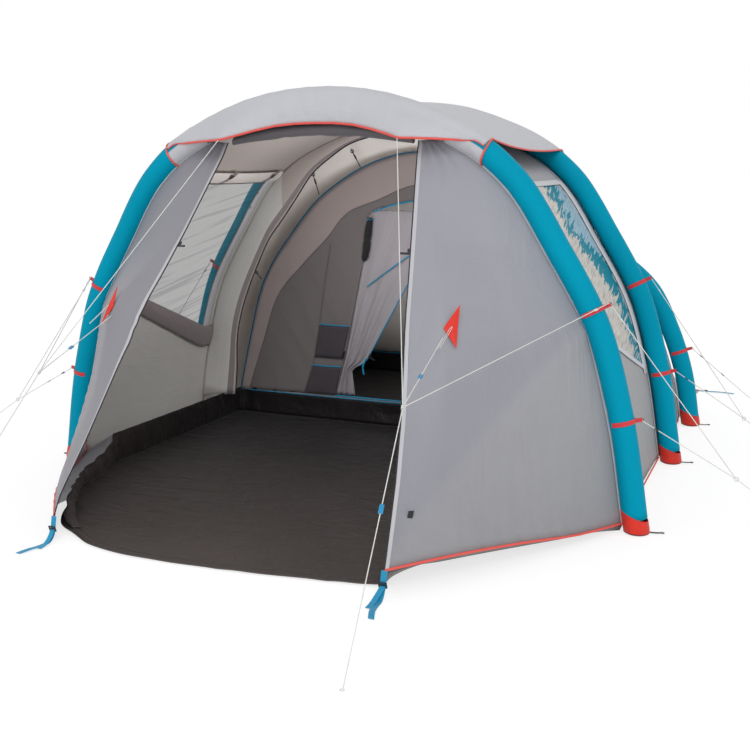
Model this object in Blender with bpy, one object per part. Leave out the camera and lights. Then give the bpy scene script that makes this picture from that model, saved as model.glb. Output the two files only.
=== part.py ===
"""Inflatable family tent: three air beams, a porch with two wings, a living room and a bedroom.

Metres, +Z up. The porch looks towards -Y and the ground is Z = 0. Places along the tent are first
given from the plane of the front air beam; the empty "tent" then moves all of it so that the middle
of its length is at Y = 0.
"""
import math

import bmesh
import bpy
from mathutils import Vector

# Fits
GAP = 0.0005
SEAM = 0.001
CLOTH = 0.0015
CUT_OVERRUN = 0.3
WELD = 0.00001

# Air beams
BEAM_RADIUS = 0.055
BEAM_SIDES = 12
SLEEVE_WALL = 0.0015
BLADDER_WALL = 0.001
MIDDLE_BEAM_Y = 1.20
REAR_BEAM_Y = 2.12
MAIN_HALF_WIDTH = 1.545
MAIN_CROWN = 1.907
MAIN_ARCH_SHARES = (
    (1.0, 0.0), (0.933, 0.294), (0.858, 0.488), (0.744, 0.650), (0.602, 0.818),
    (0.518, 0.876), (0.401, 0.927), (0.207, 0.982), (0.0, 1.0),
)
REAR_HALF_WIDTH = 1.552
REAR_CROWN = 1.335
REAR_ARCH_SHARES = (
    (1.0, 0.0), (0.960, 0.247), (0.899, 0.449), (0.818, 0.629), (0.657, 0.787),
    (0.515, 0.873), (0.374, 0.933), (0.193, 0.985), (0.0, 1.0),
)

# Foot boots
BOOT_HEIGHT = 0.082
BOOT_SEAM_SLOPE = 0.41
BOOT_WALL = 0.003

# Inflation valves and their caps
VALVE_HEIGHT = 0.25
VALVE_BORE = 0.008
VALVE_SHANK = 0.014
VALVE_FLANGE = 0.024
VALVE_FLANGE_THICKNESS = 0.004
VALVE_NECK = 0.013
VALVE_NECK_LENGTH = 0.012
VALVE_DEPTH = 0.012
VALVE_SIDES = 16
CAP_RADIUS = 0.023
CAP_GRIP_DEPTH = 0.003
CAP_ROOF = 0.006

# Red webbing straps round the beams
STRAP_WIDTH = 0.020
STRAP_THICKNESS = 0.0015
STRAP_TAB = 0.030
STRAP_REACH_SIDES = 3
UPPER_STRAP_HEIGHT = 0.976
LOWER_STRAP_HEIGHT = 0.498
REAR_STRAP_HEIGHT = 0.464

# Fly shells
HEM_HEIGHT = 0.035
REAR_EDGE_Y = 3.241
REAR_EDGE_HALF_WIDTH = 1.50
REAR_EDGE_HEIGHT = 0.004
REAR_CORNER_SWEEP = 0.06
REAR_EDGE_SHARES = (1.0, 0.955, 0.88, 0.77, 0.63, 0.50, 0.37, 0.19, 0.0)

# Windows
WINDOW_FRONT_Y = 0.25
WINDOW_REAR_Y = 1.07
WINDOW_TOP = 1.52
WINDOW_SILL_FRONT = 0.86
WINDOW_SILL_REAR = 0.56
WINDOW_CUT_INNER_X = 0.60

# Roof cover and hood
ROOF_END_SHARE = 0.23
HOOD_GUY_SHARE = 0.54
HOOD_HEM_WIDTH = 0.815
HOOD_HEM_REACH = 0.168
HOOD_HEM_HEIGHT = 1.795
HOOD_HEM_SHARES = (
    (1.0, 0.37, 0.914), (0.965, 0.40, 0.941), (0.736, 0.54, 0.958),
    (0.557, 1.0, 0.960), (0.38, 0.62, 0.979), (0.0, 0.43, 1.0),
)
ROOF_REAR_OVERHANG = 0.06

# Porch wings
PORCH_DEPTH = 1.083
PORCH_HALF_WIDTH = 0.778
PORCH_CORNER_HEIGHT = 0.11
DOOR_BEND_HEIGHT = 1.30
DOOR_BEND_DEPTH = 0.296
DOOR_BEND_HALF_WIDTH = 0.575
DOOR_TOP_HEIGHT = 1.714
DOOR_TOP_HALF_WIDTH = 0.498
DOOR_TOP_DEPTH = 0.006
WING_SEAM = 0.0018
WING_HEM_SWELL = 0.02
WING_PULL = 0.10
WING_ROW_SHARES = (0.0, 0.375, 0.650, 0.93)
WING_COLUMN_SHARES = (0.0, 0.18, 0.62, 1.0)
WING_BULGE_SHARES = ((0.0, 0.50, 1.0, 0.0), (0.0, 0.40, 0.15, 0.0), (0.0, 1.0, 0.60, 0.0),
                     (0.0, 0.22, 0.18, 0.0))
PATCH_ROW_COUNT = 2
PATCH_COLUMN_COUNT = 1

# Rolled front door
DOOR_ROLL_RADIUS = 0.030
DOOR_ROLL_HALF_LENGTH = 0.470
DOOR_ROLL_MIDDLE_HEIGHT = 1.785
DOOR_ROLL_END_HEIGHT = 1.712
DOOR_ROLL_SIDES = 10
DOOR_ROLL_STATION_SHARES = (-1.0, -0.8, -0.66, -0.4, 0.0, 0.4, 0.66, 0.8, 1.0)
DOOR_ROLL_RADIUS_SHARES = (0.8, 1.0, 1.0, 0.9, 0.95, 0.9, 1.0, 1.0, 0.8)

# Rolled window curtain
CURTAIN_HALF_HEIGHT = 0.046
CURTAIN_HALF_THICKNESS = 0.013
CURTAIN_FRONT_Y = 0.16
CURTAIN_REAR_Y = 1.10
CURTAIN_SIDES = 10
CURTAIN_STATION_SHARES = (0.0, 0.06, 0.3, 0.5, 0.7, 0.94, 1.0)
CURTAIN_THICKNESS_SHARES = (0.5, 1.0, 0.85, 1.0, 0.85, 1.0, 0.5)

# Living-room groundsheet
GROUND_HALF_WIDTH = 1.285
GROUND_WALL = 0.16
GROUND_LIP = 0.006
GROUND_CORNER = 0.06
GROUND_THICKNESS = 0.003
GROUND_FRONT_SHARES = (
    (1.0, 0.0), (0.962, -0.185), (0.810, -0.489), (0.690, -0.700), (0.622, -0.831), (0.572, -0.914),
    (0.483, -0.979), (0.272, -1.0),
)
GROUND_BRIM_SHARES = (1.0, 0.63, 0.63, 0.58, 0.38)

# Bedroom
BEDROOM_FRONT_Y = 1.345
BEDROOM_REAR_Y = 3.00
BEDROOM_HALF_WIDTH = 1.27
BEDROOM_REAR_HALF_WIDTH = 1.15
TRAY_WALL = 0.15
TRAY_THICKNESS = 0.003
CANOPY_FRONT_CROWN = 1.69
CANOPY_MIDDLE_CROWN = 1.19
CANOPY_FRONT_SHARES = (
    (1.0, 0.0), (0.937, 0.22), (0.843, 0.48), (0.685, 0.675), (0.52, 0.825), (0.30, 0.94), (0.0, 1.0),
)
CANOPY_MIDDLE_SHARES = (
    (1.0, 0.0), (0.937, 0.26), (0.843, 0.53), (0.685, 0.70), (0.52, 0.84), (0.30, 0.95), (0.0, 1.0),
)
HANGER_WIDTH = 0.016
HANGER_TIP = 0.002
HANGER_PLACES = ((2, 2), (4, 5), (5, 7))
CANOPY_REAR_SHARES = (1.0, 0.86, 0.72, 0.56, 0.40, 0.22, 0.0)
DOORWAY_HALF_WIDTH = 0.57
DOORWAY_SILL = 0.165
DOORWAY_TOP = 1.41
DOORWAY_SHARES = ((1.0, 0.0), (0.86, 0.235), (0.545, 0.944), (0.0, 1.0))

# Bedroom door, gathered to the left; its zip runs straight between two points of its free edge
DOOR_ZIP_LOW_X = -0.36
DOOR_ZIP_LOW_HEIGHT = 0.40
DOOR_ZIP_HIGH_X = -0.02
DOOR_ZIP_HIGH_HEIGHT = 1.01
DOOR_HEAD_X = 0.20
DOOR_HEAD_HEIGHT = 1.34
DOOR_TAIL_WIDTH = 0.11
DOOR_WAIST_WIDTH = 0.08
DOOR_WAIST_HEIGHT = 0.34
DOOR_TAIL_HEIGHT = 0.18
DOOR_FOLD_DEPTH = 0.016
DOOR_FOLDS = 2.5
DOOR_COLUMNS = 18
DOOR_ZIP_ROWS = 5

# Zip sliders
SLIDER_LENGTH = 0.026
SLIDER_WIDTH = 0.012
SLIDER_THICKNESS = 0.006
SLIDER_PULL_LENGTH = 0.034
SLIDER_PULL_WIDTH = 0.007
SLIDER_GAP = 0.0009
PORCH_SLIDER_SHARE = 0.95
BEDROOM_SLIDER_SHARE = 0.07

# Corner straps
CORNER_STRAP_WIDTH = 0.025
CORNER_STRAP_THICKNESS = 0.002
FRONT_STRAP_REACH = 0.20
FRONT_STRAP_SPREAD = 0.03
REAR_STRAP_REACH = 0.24
STRAP_STEP = 0.015
STRAP_LIFT = 0.001

# Guy lines
GUY_RADIUS = 0.002
GUY_RESOLUTION = 2
KNOT_RADIUS = 0.006
GUY_KNOT = (0.835, -1.05, 0.735)
GUY_FOOT = (0.925, -1.772, 0.006)
FRONT_SIDE_RING = (1.944, 0.0, 0.297)
FRONT_SIDE_FOOT = (2.387, 0.0, 0.006)
MIDDLE_SIDE_RING = (1.906, 1.20, 0.284)
MIDDLE_SIDE_FOOT = (2.315, 1.20, 0.006)
REAR_SIDE_FOOT = (2.14, 2.12, 0.006)
TENSIONER_SHARE = 0.40
TENSIONER_LENGTH = 0.034
TENSIONER_HALF_WIDTH = 0.009
TENSIONER_HALF_THICKNESS = 0.005
TENSIONER_SIDES = 8

# Worked out from the sizes above
AXIS_Y = Vector((0.0, 1.0, 0.0))
AXIS_Z = Vector((0.0, 0.0, 1.0))
BEAM_CLEARANCE = BEAM_RADIUS + GAP
CROWN_FALL = (MAIN_CROWN - REAR_CROWN) / (REAR_BEAM_Y - MIDDLE_BEAM_Y)
CROWN_SLOPE = math.atan(CROWN_FALL)
REAR_CLEARANCE = BEAM_CLEARANCE / math.cos(CROWN_SLOPE)
GROUND_REAR_Y = BEDROOM_FRONT_Y - GAP
FRONT_END_Y = -PORCH_DEPTH - FRONT_STRAP_REACH
MIDDLE_OF_LENGTH = (FRONT_END_Y + REAR_EDGE_Y) / 2.0

COLOURS = {
    "beam": (0.0, 0.30, 0.42), "bladder": (0.75, 0.78, 0.78), "red": (0.78, 0.075, 0.03),
    "roof": (0.52, 0.52, 0.54), "fly": (0.30, 0.29, 0.31), "lining": (0.50, 0.46, 0.42),
    "inner": (0.28, 0.24, 0.23), "ground": (0.045, 0.035, 0.032), "window": (0.55, 0.62, 0.60),
    "blue": (0.0, 0.22, 0.42), "cord": (0.80, 0.80, 0.78), "black": (0.02, 0.02, 0.02),
}


def clear_scene():
    """Remove whatever the scene holds."""
    for item in list(bpy.data.objects):
        bpy.data.objects.remove(item, do_unlink=True)


def material(name, roughness=0.7):
    """A plain surface in one of the named colours."""
    made = bpy.data.materials.get(name)
    if made is None:
        made = bpy.data.materials.new(name)
        made.use_nodes = True
        shader = made.node_tree.nodes["Principled BSDF"]
        shader.inputs["Base Color"].default_value = (*COLOURS[name], 1.0)
        shader.inputs["Roughness"].default_value = roughness
        shader.inputs["Metallic"].default_value = 0.0
    return made


def add_object(name, data, colour, parent):
    """Link an object with its material under the tent's empty."""
    made = bpy.data.objects.new(name, data)
    bpy.context.scene.collection.objects.link(made)
    data.materials.append(material(colour))
    made.parent = parent
    return made


def solid(name, bm, colour, parent, origin=None, smooth=False):
    """Finish a closed bmesh with its faces outward and its origin in its place."""
    bm.normal_update()
    bmesh.ops.recalc_face_normals(bm, faces=bm.faces)
    if origin is not None:
        bmesh.ops.translate(bm, verts=bm.verts, vec=-origin)
    mesh = bpy.data.meshes.new(name)
    bm.to_mesh(mesh)
    bm.free()
    if smooth:
        mesh.shade_smooth()
        mesh.set_sharp_from_angle(angle=math.radians(40.0))
    made = add_object(name, mesh, colour, parent)
    if origin is not None:
        made.location = origin
    return made


def add_ring(bm, points):
    """Vertices of one ring of points."""
    return [bm.verts.new(point) for point in points]


def bridge(bm, rings, wrap_rings=False):
    """Quads between each ring and the next; the last meets the first when wrapped."""
    pairs = list(zip(rings, rings[1:]))
    if wrap_rings:
        pairs.append((rings[-1], rings[0]))
    for first, second in pairs:
        count = len(first)
        for i in range(count):
            j = (i + 1) % count
            bm.faces.new((first[i], first[j], second[j], second[i]))


def mirror_x(point):
    """The same place on the other side of the tent."""
    return Vector((-point[0], point[1], point[2]))


def to_side(point, side):
    """A right-hand place, or its mirror image when side is -1."""
    return Vector((point[0] * side, point[1], point[2]))


# Arches

def full_arch(shares, half_width, crown):
    """Centre line of an arch from its left foot to its right foot, as (x, z) pairs."""
    right = [(x * half_width, z * crown) for x, z in shares]
    left = [(-x, z) for x, z in right[:-1]]
    return left + right[::-1]


MAIN_ARCH = full_arch(MAIN_ARCH_SHARES, MAIN_HALF_WIDTH, MAIN_CROWN)
REAR_ARCH = full_arch(REAR_ARCH_SHARES, REAR_HALF_WIDTH, REAR_CROWN)
BEAMS = (("front", MAIN_ARCH, 0.0), ("middle", MAIN_ARCH, MIDDLE_BEAM_Y),
         ("rear", REAR_ARCH, REAR_BEAM_Y))


def outward(first, second):
    """Unit normal of a run of an arch walked from left to right, away from the room."""
    run = Vector((second[0] - first[0], second[1] - first[1])).normalized()
    return Vector((-run.y, run.x))


def offset_outline(points, distance, level_ends=True):
    """Parallel outline at a distance; the ends slide level, or straight out."""
    moved = []
    for i, point in enumerate(points):
        before = outward(points[max(i - 1, 0)], points[max(i, 1)])
        after = outward(points[min(i, len(points) - 2)], points[min(i + 1, len(points) - 1)])
        normal = (before + after).normalized()
        reach = distance / normal.dot(before)
        shift = normal * reach
        if level_ends and i in (0, len(points) - 1):
            shift = Vector((distance / before.x, 0.0))
        moved.append((point[0] + shift.x, point[1] + shift.y))
    return moved


def at_height(first, second, height):
    """Point of a run at a height."""
    share = (height - first[1]) / (second[1] - first[1])
    return (first[0] + (second[0] - first[0]) * share, height)


def raised_feet(arch, height):
    """The arch with both feet cut off at a height."""
    return [at_height(arch[0], arch[1], height)] + arch[1:-1] + [at_height(arch[-1], arch[-2], height)]


def leg_point(arch, height, side):
    """Centre, upward direction and outward direction of a leg at a height."""
    half = len(arch) // 2
    for i in range(half):
        if arch[i][1] <= height <= arch[i + 1][1]:
            low, high = arch[i], arch[i + 1]
    x, z = at_height(low, high, height)
    up = Vector((high[0] - low[0], 0.0, high[1] - low[1])).normalized()
    out = Vector((-up.z, 0.0, up.x))
    centre = Vector((x, 0.0, z))
    if side > 0:
        centre, up, out = mirror_x(centre), mirror_x(up), mirror_x(out)
    return centre, up, out


def tube_rings(path, radius, start_cut, end_cut):
    """Rings of a tube with straight runs in a plane of constant y, mitred at each bend.

    A cut is a (point, normal) pair for the plane that ends the tube.
    """
    rings = []
    last = len(path) - 1
    for i in range(last + 1):
        run = min(i, last - 1)
        along = (path[run + 1] - path[run]).normalized()
        out = along.cross(AXIS_Y)
        if i == 0:
            on_plane, normal = start_cut
        elif i == last:
            on_plane, normal = end_cut
        else:
            on_plane = path[i]
            normal = (along + (path[i] - path[i - 1]).normalized()).normalized()
        ring = []
        for k in range(BEAM_SIDES):
            turn = 2.0 * math.pi * k / BEAM_SIDES
            start = path[run] + out * math.cos(turn) * radius + AXIS_Y * math.sin(turn) * radius
            ring.append(start + along * ((on_plane - start).dot(normal) / along.dot(normal)))
        rings.append(ring)
    return rings


def seam_cut(arch, y, side, lift):
    """Sloping plane where a boot meets its sleeve, lifted by a gap."""
    centre, _, _ = leg_point(arch, BOOT_HEIGHT, side)
    centre.y = y
    return centre + AXIS_Z * lift, Vector((BOOT_SEAM_SLOPE * side, 0.0, 1.0)).normalized()


def arch_path(arch, y):
    """The arch's centre line in space."""
    return [Vector((x, y, z)) for x, z in arch]


def beam_sleeve(name, arch, y, parent):
    """Woven outer tube of a beam, open at both feet, with the hole for the valve."""
    cuts = (seam_cut(arch, y, -1, GAP), seam_cut(arch, y, 1, GAP))
    path = arch_path(arch, y)
    bm = bmesh.new()
    outer = [add_ring(bm, ring) for ring in tube_rings(path, BEAM_RADIUS, *cuts)]
    inner = [add_ring(bm, ring) for ring in tube_rings(path, BEAM_RADIUS - SLEEVE_WALL, *cuts)]
    bridge(bm, outer + inner[::-1], wrap_rings=True)
    made = solid(f"{name}_beam_sleeve", bm, "beam", parent, smooth=True)
    cut_valve_hole(made, arch, y, parent)


def floor_cut(x, y, height):
    """Level plane over a foot."""
    return Vector((x, y, height)), AXIS_Z


def closed_tube(bm, arch, y, radius, foot_height):
    """Tube along the whole arch with both ends closed at a height."""
    cuts = (floor_cut(arch[0][0], y, foot_height), floor_cut(arch[-1][0], y, foot_height))
    rings = [add_ring(bm, ring) for ring in tube_rings(arch_path(arch, y), radius, *cuts)]
    bridge(bm, rings)
    bm.faces.new(rings[0])
    bm.faces.new(rings[-1])


def beam_bladder(name, arch, y, parent):
    """Airtight tube inside a sleeve, hollow, opened only by the valve's hole."""
    radius = BEAM_RADIUS - max(SLEEVE_WALL, BOOT_WALL) - GAP
    bm = bmesh.new()
    closed_tube(bm, arch, y, radius, BOOT_WALL + GAP)
    made = solid(f"{name}_beam_bladder", bm, "bladder", parent, smooth=True)
    core = bmesh.new()
    closed_tube(core, arch, y, radius - BLADDER_WALL, BOOT_WALL + GAP + BLADDER_WALL)
    cut(made, hidden_tool(f"cutter_{name}_bladder_core", core, parent))
    cut_valve_hole(made, arch, y, parent)


def foot_boot(name, arch, y, side, parent):
    """Red cup that closes a beam's foot and stands on the ground."""
    foot = Vector((arch[0][0], y, 0.0))
    knee = Vector((arch[1][0], y, arch[1][1]))
    top = seam_cut(arch, y, -1, 0.0)
    bm = bmesh.new()
    outer = [add_ring(bm, ring) for ring in
             tube_rings([foot, knee], BEAM_RADIUS, floor_cut(foot.x, y, 0.0), top)]
    inner = [add_ring(bm, ring) for ring in
             tube_rings([foot, knee], BEAM_RADIUS - BOOT_WALL, floor_cut(foot.x, y, BOOT_WALL), top)]
    bridge(bm, outer + inner[::-1])
    bm.faces.new(outer[0])
    bm.faces.new(inner[0])
    if side > 0:
        for vertex in bm.verts:
            vertex.co.x = -vertex.co.x
    solid(f"{name}_foot_boot_{side_name(side)}", bm, "red", parent, smooth=True)


def side_name(side):
    """Word for a side of the tent."""
    return "right" if side > 0 else "left"


# Cutters

def hidden_tool(name, bm, parent):
    """An object that only shapes others."""
    made = solid(name, bm, "black", parent)
    made.hide_render = True
    made.display_type = "WIRE"
    return made


def cut(target, tool, operation="DIFFERENCE"):
    """Give a target an exact Boolean modifier with a tool's shape."""
    modifier = target.modifiers.new(tool.name, "BOOLEAN")
    modifier.operation = operation
    modifier.solver = "EXACT"
    modifier.object = tool


def lathe(bm, profile, centre, sides, radius_shares=(1.0,)):
    """Solid turned about the y direction through a centre, from closed (radius, y) pairs."""
    columns = []
    for k in range(sides):
        turn = 2.0 * math.pi * k / sides
        share = radius_shares[k % len(radius_shares)]
        column = []
        for radius, y in profile:
            spoke = Vector((math.cos(turn) * radius * share, y, math.sin(turn) * radius * share))
            column.append(bm.verts.new(centre + spoke))
        columns.append(column)
    bridge(bm, columns, wrap_rings=True)


def valve_centre(arch, y):
    """Where the valve's axis crosses the beam's centre line."""
    centre, _, _ = leg_point(arch, VALVE_HEIGHT, 1)
    centre.y = y
    return centre


def cut_valve_hole(target, arch, y, parent):
    """Round hole through the rear wall of a right-hand leg."""
    bm = bmesh.new()
    bmesh.ops.create_cone(bm, cap_ends=True, segments=VALVE_SIDES, radius1=VALVE_SHANK + GAP,
                          radius2=VALVE_SHANK + GAP, depth=BEAM_RADIUS + VALVE_DEPTH)
    for vertex in bm.verts:
        side, across, along = vertex.co
        vertex.co = valve_centre(arch, y) + Vector((side, along + BEAM_RADIUS, across))
    cut(target, hidden_tool(f"cutter_{target.name}_valve_hole", bm, parent))


def valve(name, arch, y, parent):
    """Inflation valve with its flange on the sleeve and its bore into the bladder."""
    face = BEAM_RADIUS + GAP
    top = face + VALVE_FLANGE_THICKNESS
    profile = (
        (VALVE_BORE, BEAM_RADIUS - VALVE_DEPTH), (VALVE_SHANK, BEAM_RADIUS - VALVE_DEPTH),
        (VALVE_SHANK, face), (VALVE_FLANGE, face), (VALVE_FLANGE, top), (VALVE_NECK, top),
        (VALVE_NECK, top + VALVE_NECK_LENGTH), (VALVE_BORE, top + VALVE_NECK_LENGTH),
    )
    bm = bmesh.new()
    lathe(bm, profile, valve_centre(arch, y), VALVE_SIDES)
    solid(f"{name}_valve", bm, "red", parent, smooth=True)


def valve_cap(name, arch, y, parent):
    """Screw cap over the valve's neck, with grips round its rim, turned about the valve's axis."""
    centre = valve_centre(arch, y)
    base = BEAM_RADIUS + GAP + VALVE_FLANGE_THICKNESS + GAP
    inside = base + VALVE_NECK_LENGTH
    top = inside + CAP_ROOF
    rows = ((VALVE_NECK + GAP, base), (CAP_RADIUS, base), (CAP_RADIUS, top))
    bm = bmesh.new()
    rings = []
    for radius, y_place in rows:
        ring = []
        for k in range(VALVE_SIDES):
            turn = 2.0 * math.pi * k / VALVE_SIDES
            grip = CAP_GRIP_DEPTH if radius == CAP_RADIUS and k % 2 else 0.0
            reach = radius - grip
            ring.append(centre + Vector((math.cos(turn) * reach, y_place, math.sin(turn) * reach)))
        rings.append(add_ring(bm, ring))
    well = [vertex.co + AXIS_Y * (inside - base) for vertex in rings[0]]
    rings.insert(0, add_ring(bm, well))
    bridge(bm, rings)
    bm.faces.new(rings[0])
    bm.faces.new(rings[-1])
    solid(f"{name}_valve_cap", bm, "red", parent, origin=centre, smooth=True)


# Straps round the beams

def strap_section():
    """Half hoop round the outer side of a beam with a tab, as (outward, y) pairs."""
    step = 2.0 * math.pi / BEAM_SIDES
    inner_radius = BEAM_CLEARANCE
    outer_radius = BEAM_CLEARANCE + STRAP_THICKNESS
    half_tab = STRAP_THICKNESS

    def hoop(radius, counts):
        return [(math.cos(step * k) * radius, math.sin(step * k) * radius) for k in counts]

    below = hoop(outer_radius, range(-STRAP_REACH_SIDES, 0))
    above = hoop(outer_radius, range(1, STRAP_REACH_SIDES + 1))
    tip = outer_radius + STRAP_TAB
    tab = [(outer_radius, -half_tab), (tip, -half_tab), (tip, half_tab), (outer_radius, half_tab)]
    inside = hoop(inner_radius, range(STRAP_REACH_SIDES, -STRAP_REACH_SIDES - 1, -1))
    return below + tab + above + inside


def beam_strap(name, arch, y, height, side, parent):
    """Red webbing sewn round a leg, with its tab for the guy line."""
    centre, up, out = leg_point(arch, height, side)
    centre.y = y
    bm = bmesh.new()
    ends = []
    for end in (-0.5, 0.5):
        ends.append(add_ring(bm, [centre + out * a + AXIS_Y * b + up * (end * STRAP_WIDTH)
                                  for a, b in strap_section()]))
    bridge(bm, ends)
    bm.faces.new(ends[0])
    bm.faces.new(ends[1])
    solid(f"{name}_strap_{side_name(side)}", bm, "red", parent)


def line_from_tab(arch, y, height, target):
    """Start of a guy line just off the tab of a right-hand strap, on the way to its target."""
    centre, _, out = leg_point(arch, height, 1)
    centre.y = y
    tip = centre + out * (BEAM_CLEARANCE + STRAP_THICKNESS + STRAP_TAB)
    along = (Vector(target) - tip).normalized()
    tilt = math.sqrt(1.0 - along.dot(out) ** 2)
    return tip + out * (GAP + GUY_RADIUS * tilt)


# Sheets

def sheet(name, rows, colour, parent, outward_point, thickness=CLOTH, outside=False):
    """Cloth through rows of points, thickened on its inner side, or on its outer side.

    The faces look to the side of the sheet that outward_point is on.
    """
    bm = bmesh.new()
    grid = [add_ring(bm, row) for row in rows]
    for lower, upper in zip(grid, grid[1:]):
        for i in range(len(lower) - 1):
            bm.faces.new((lower[i], lower[i + 1], upper[i + 1], upper[i]))
    bm.faces.ensure_lookup_table()
    bmesh.ops.recalc_face_normals(bm, faces=bm.faces)
    middle = bm.faces[len(bm.faces) // 2]
    middle.normal_update()
    if middle.normal.dot(outward_point - middle.calc_center_median()) < 0.0:
        bmesh.ops.reverse_faces(bm, faces=bm.faces)
    mesh = bpy.data.meshes.new(name)
    bm.to_mesh(mesh)
    bm.free()
    made = add_object(name, mesh, colour, parent)
    modifier = made.modifiers.new("thickness", "SOLIDIFY")
    modifier.thickness = thickness
    modifier.offset = 1.0 if outside else -1.0
    return made


def in_space(outline, y):
    """An (x, z) outline at a place along the tent."""
    return [Vector((x, y, z)) for x, z in outline]


def sky():
    """A point well outside the tent, over its middle."""
    return Vector((0.0, MIDDLE_BEAM_Y, 4.0 * MAIN_CROWN))


def main_lining():
    """Outline of the fly inside the front and middle beams."""
    return offset_outline(raised_feet(MAIN_ARCH, HEM_HEIGHT), -BEAM_CLEARANCE)


def rear_lining():
    """Outline of the fly inside the rear beam."""
    return offset_outline(raised_feet(REAR_ARCH, HEM_HEIGHT), -REAR_CLEARANCE)


def living_rows():
    """Rows of the living room's shell, front to back."""
    return [in_space(main_lining(), 0.0), in_space(main_lining(), MIDDLE_BEAM_Y)]


def window_prism(name, inset, side, parent):
    """Solid that takes a window's outline out of a side wall."""
    corners = (
        (WINDOW_FRONT_Y + inset, WINDOW_SILL_FRONT + inset),
        (WINDOW_REAR_Y - inset, WINDOW_SILL_REAR + inset),
        (WINDOW_REAR_Y - inset, WINDOW_TOP - inset),
        (WINDOW_FRONT_Y + inset, WINDOW_TOP - inset),
    )
    bm = bmesh.new()
    near = add_ring(bm, [Vector((WINDOW_CUT_INNER_X * side, y, z)) for y, z in corners])
    far_x = (MAIN_HALF_WIDTH + CUT_OVERRUN) * side
    far = add_ring(bm, [Vector((far_x, y, z)) for y, z in corners])
    bridge(bm, [near, far])
    bm.faces.new(near)
    bm.faces.new(far)
    return hidden_tool(name, bm, parent)


def living_room(parent):
    """Living-room shell with both window holes, and the two clear windows in them."""
    shell = sheet("living_room_shell", living_rows(), "fly", parent, sky())
    for side in (-1, 1):
        word = side_name(side)
        cut(shell, window_prism(f"cutter_window_hole_{word}", 0.0, side, parent))
        pane = sheet(f"window_{word}", living_rows(), "window", parent, sky())
        cut(pane, window_prism(f"cutter_window_pane_{word}", GAP, side, parent), "INTERSECT")


def bedroom_fly(parent):
    """Shell between the middle and rear beams."""
    rows = [in_space(main_lining(), MIDDLE_BEAM_Y + SEAM), in_space(rear_lining(), REAR_BEAM_Y)]
    sheet("bedroom_shell", rows, "fly", parent, sky())


def rear_edge():
    """Ground edge of the rear shell, left to right, swept forward a little at its corners."""
    right = []
    for share in REAR_EDGE_SHARES:
        y = REAR_EDGE_Y - REAR_CORNER_SWEEP * share ** 3
        right.append(Vector((REAR_EDGE_HALF_WIDTH * share, y, REAR_EDGE_HEIGHT)))
    return [mirror_x(point) for point in right[:-1]] + right[::-1]


def rear_fly(parent):
    """Sloping shell from the rear beam down to the ground."""
    rows = [in_space(rear_lining(), REAR_BEAM_Y + SEAM), rear_edge()]
    sheet("rear_shell", rows, "fly", parent, sky() + AXIS_Y * REAR_EDGE_Y)


# Roof cover

def roof_outline(arch):
    """Part of an arch that the roof covers, with the place of the hood's guy lines on it."""
    half = len(arch) // 2
    knee = half + 3
    end = lerp_pair(arch[knee], arch[knee + 1], ROOF_END_SHARE)
    guy = lerp_pair(arch[knee - 1], arch[knee - 2], HOOD_GUY_SHARE)
    right = [end, arch[knee], arch[knee - 1], guy, arch[knee - 2], arch[half]]
    left = [(-x, z) for x, z in right[:-1]]
    return left + right[::-1]


def lerp_pair(first, second, share):
    """Point between two (x, z) pairs."""
    return (first[0] + (second[0] - first[0]) * share, first[1] + (second[1] - first[1]) * share)


def hood_hem():
    """Lower edge of the hood, left to right."""
    right = [Vector((x * HOOD_HEM_WIDTH, -y * HOOD_HEM_REACH, z * HOOD_HEM_HEIGHT))
             for x, y, z in HOOD_HEM_SHARES]
    return [mirror_x(point) for point in right[:-1]] + right[::-1]


def wrap_row(outline, turn):
    """Row of the hood where it is wrapped round the front beam by an angle from its top."""
    reach = BEAM_CLEARANCE / math.cos(math.pi / 8.0)
    raised = offset_outline(outline, reach * math.cos(turn), level_ends=False)
    return in_space(raised, -reach * math.sin(turn))


def roof_cover(parent):
    """Roof over the three beams, with the hood wrapped down over the front beam."""
    front = roof_outline(MAIN_ARCH)
    rear = roof_outline(REAR_ARCH)
    ridge_y = MIDDLE_BEAM_Y + BEAM_CLEARANCE * math.tan(CROWN_SLOPE / 2.0)
    top = offset_outline(front, BEAM_CLEARANCE, level_ends=False)
    rear_top = offset_outline(rear, REAR_CLEARANCE, level_ends=False)
    beyond = []
    share = (REAR_BEAM_Y + ROOF_REAR_OVERHANG - ridge_y) / (REAR_BEAM_Y - ridge_y)
    for start, end in zip(in_space(top, ridge_y), in_space(rear_top, REAR_BEAM_Y)):
        beyond.append(start.lerp(end, share))
    rows = [hood_hem(), wrap_row(front, math.radians(67.5)), wrap_row(front, math.radians(22.5)),
            in_space(top, ridge_y), beyond]
    sheet("roof_cover", rows, "roof", parent, sky(), outside=True)


# Porch

def door_edge(side):
    """Free edge of a wing, bottom to top: straight to the bend, then to the hood."""
    corner = Vector((PORCH_HALF_WIDTH, -PORCH_DEPTH, PORCH_CORNER_HEIGHT))
    bend = Vector((DOOR_BEND_HALF_WIDTH, -DOOR_BEND_DEPTH, DOOR_BEND_HEIGHT))
    top = Vector((DOOR_TOP_HALF_WIDTH, -DOOR_TOP_DEPTH, DOOR_TOP_HEIGHT))
    return [to_side(point, side) for point in (corner, bend, top)]


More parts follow.
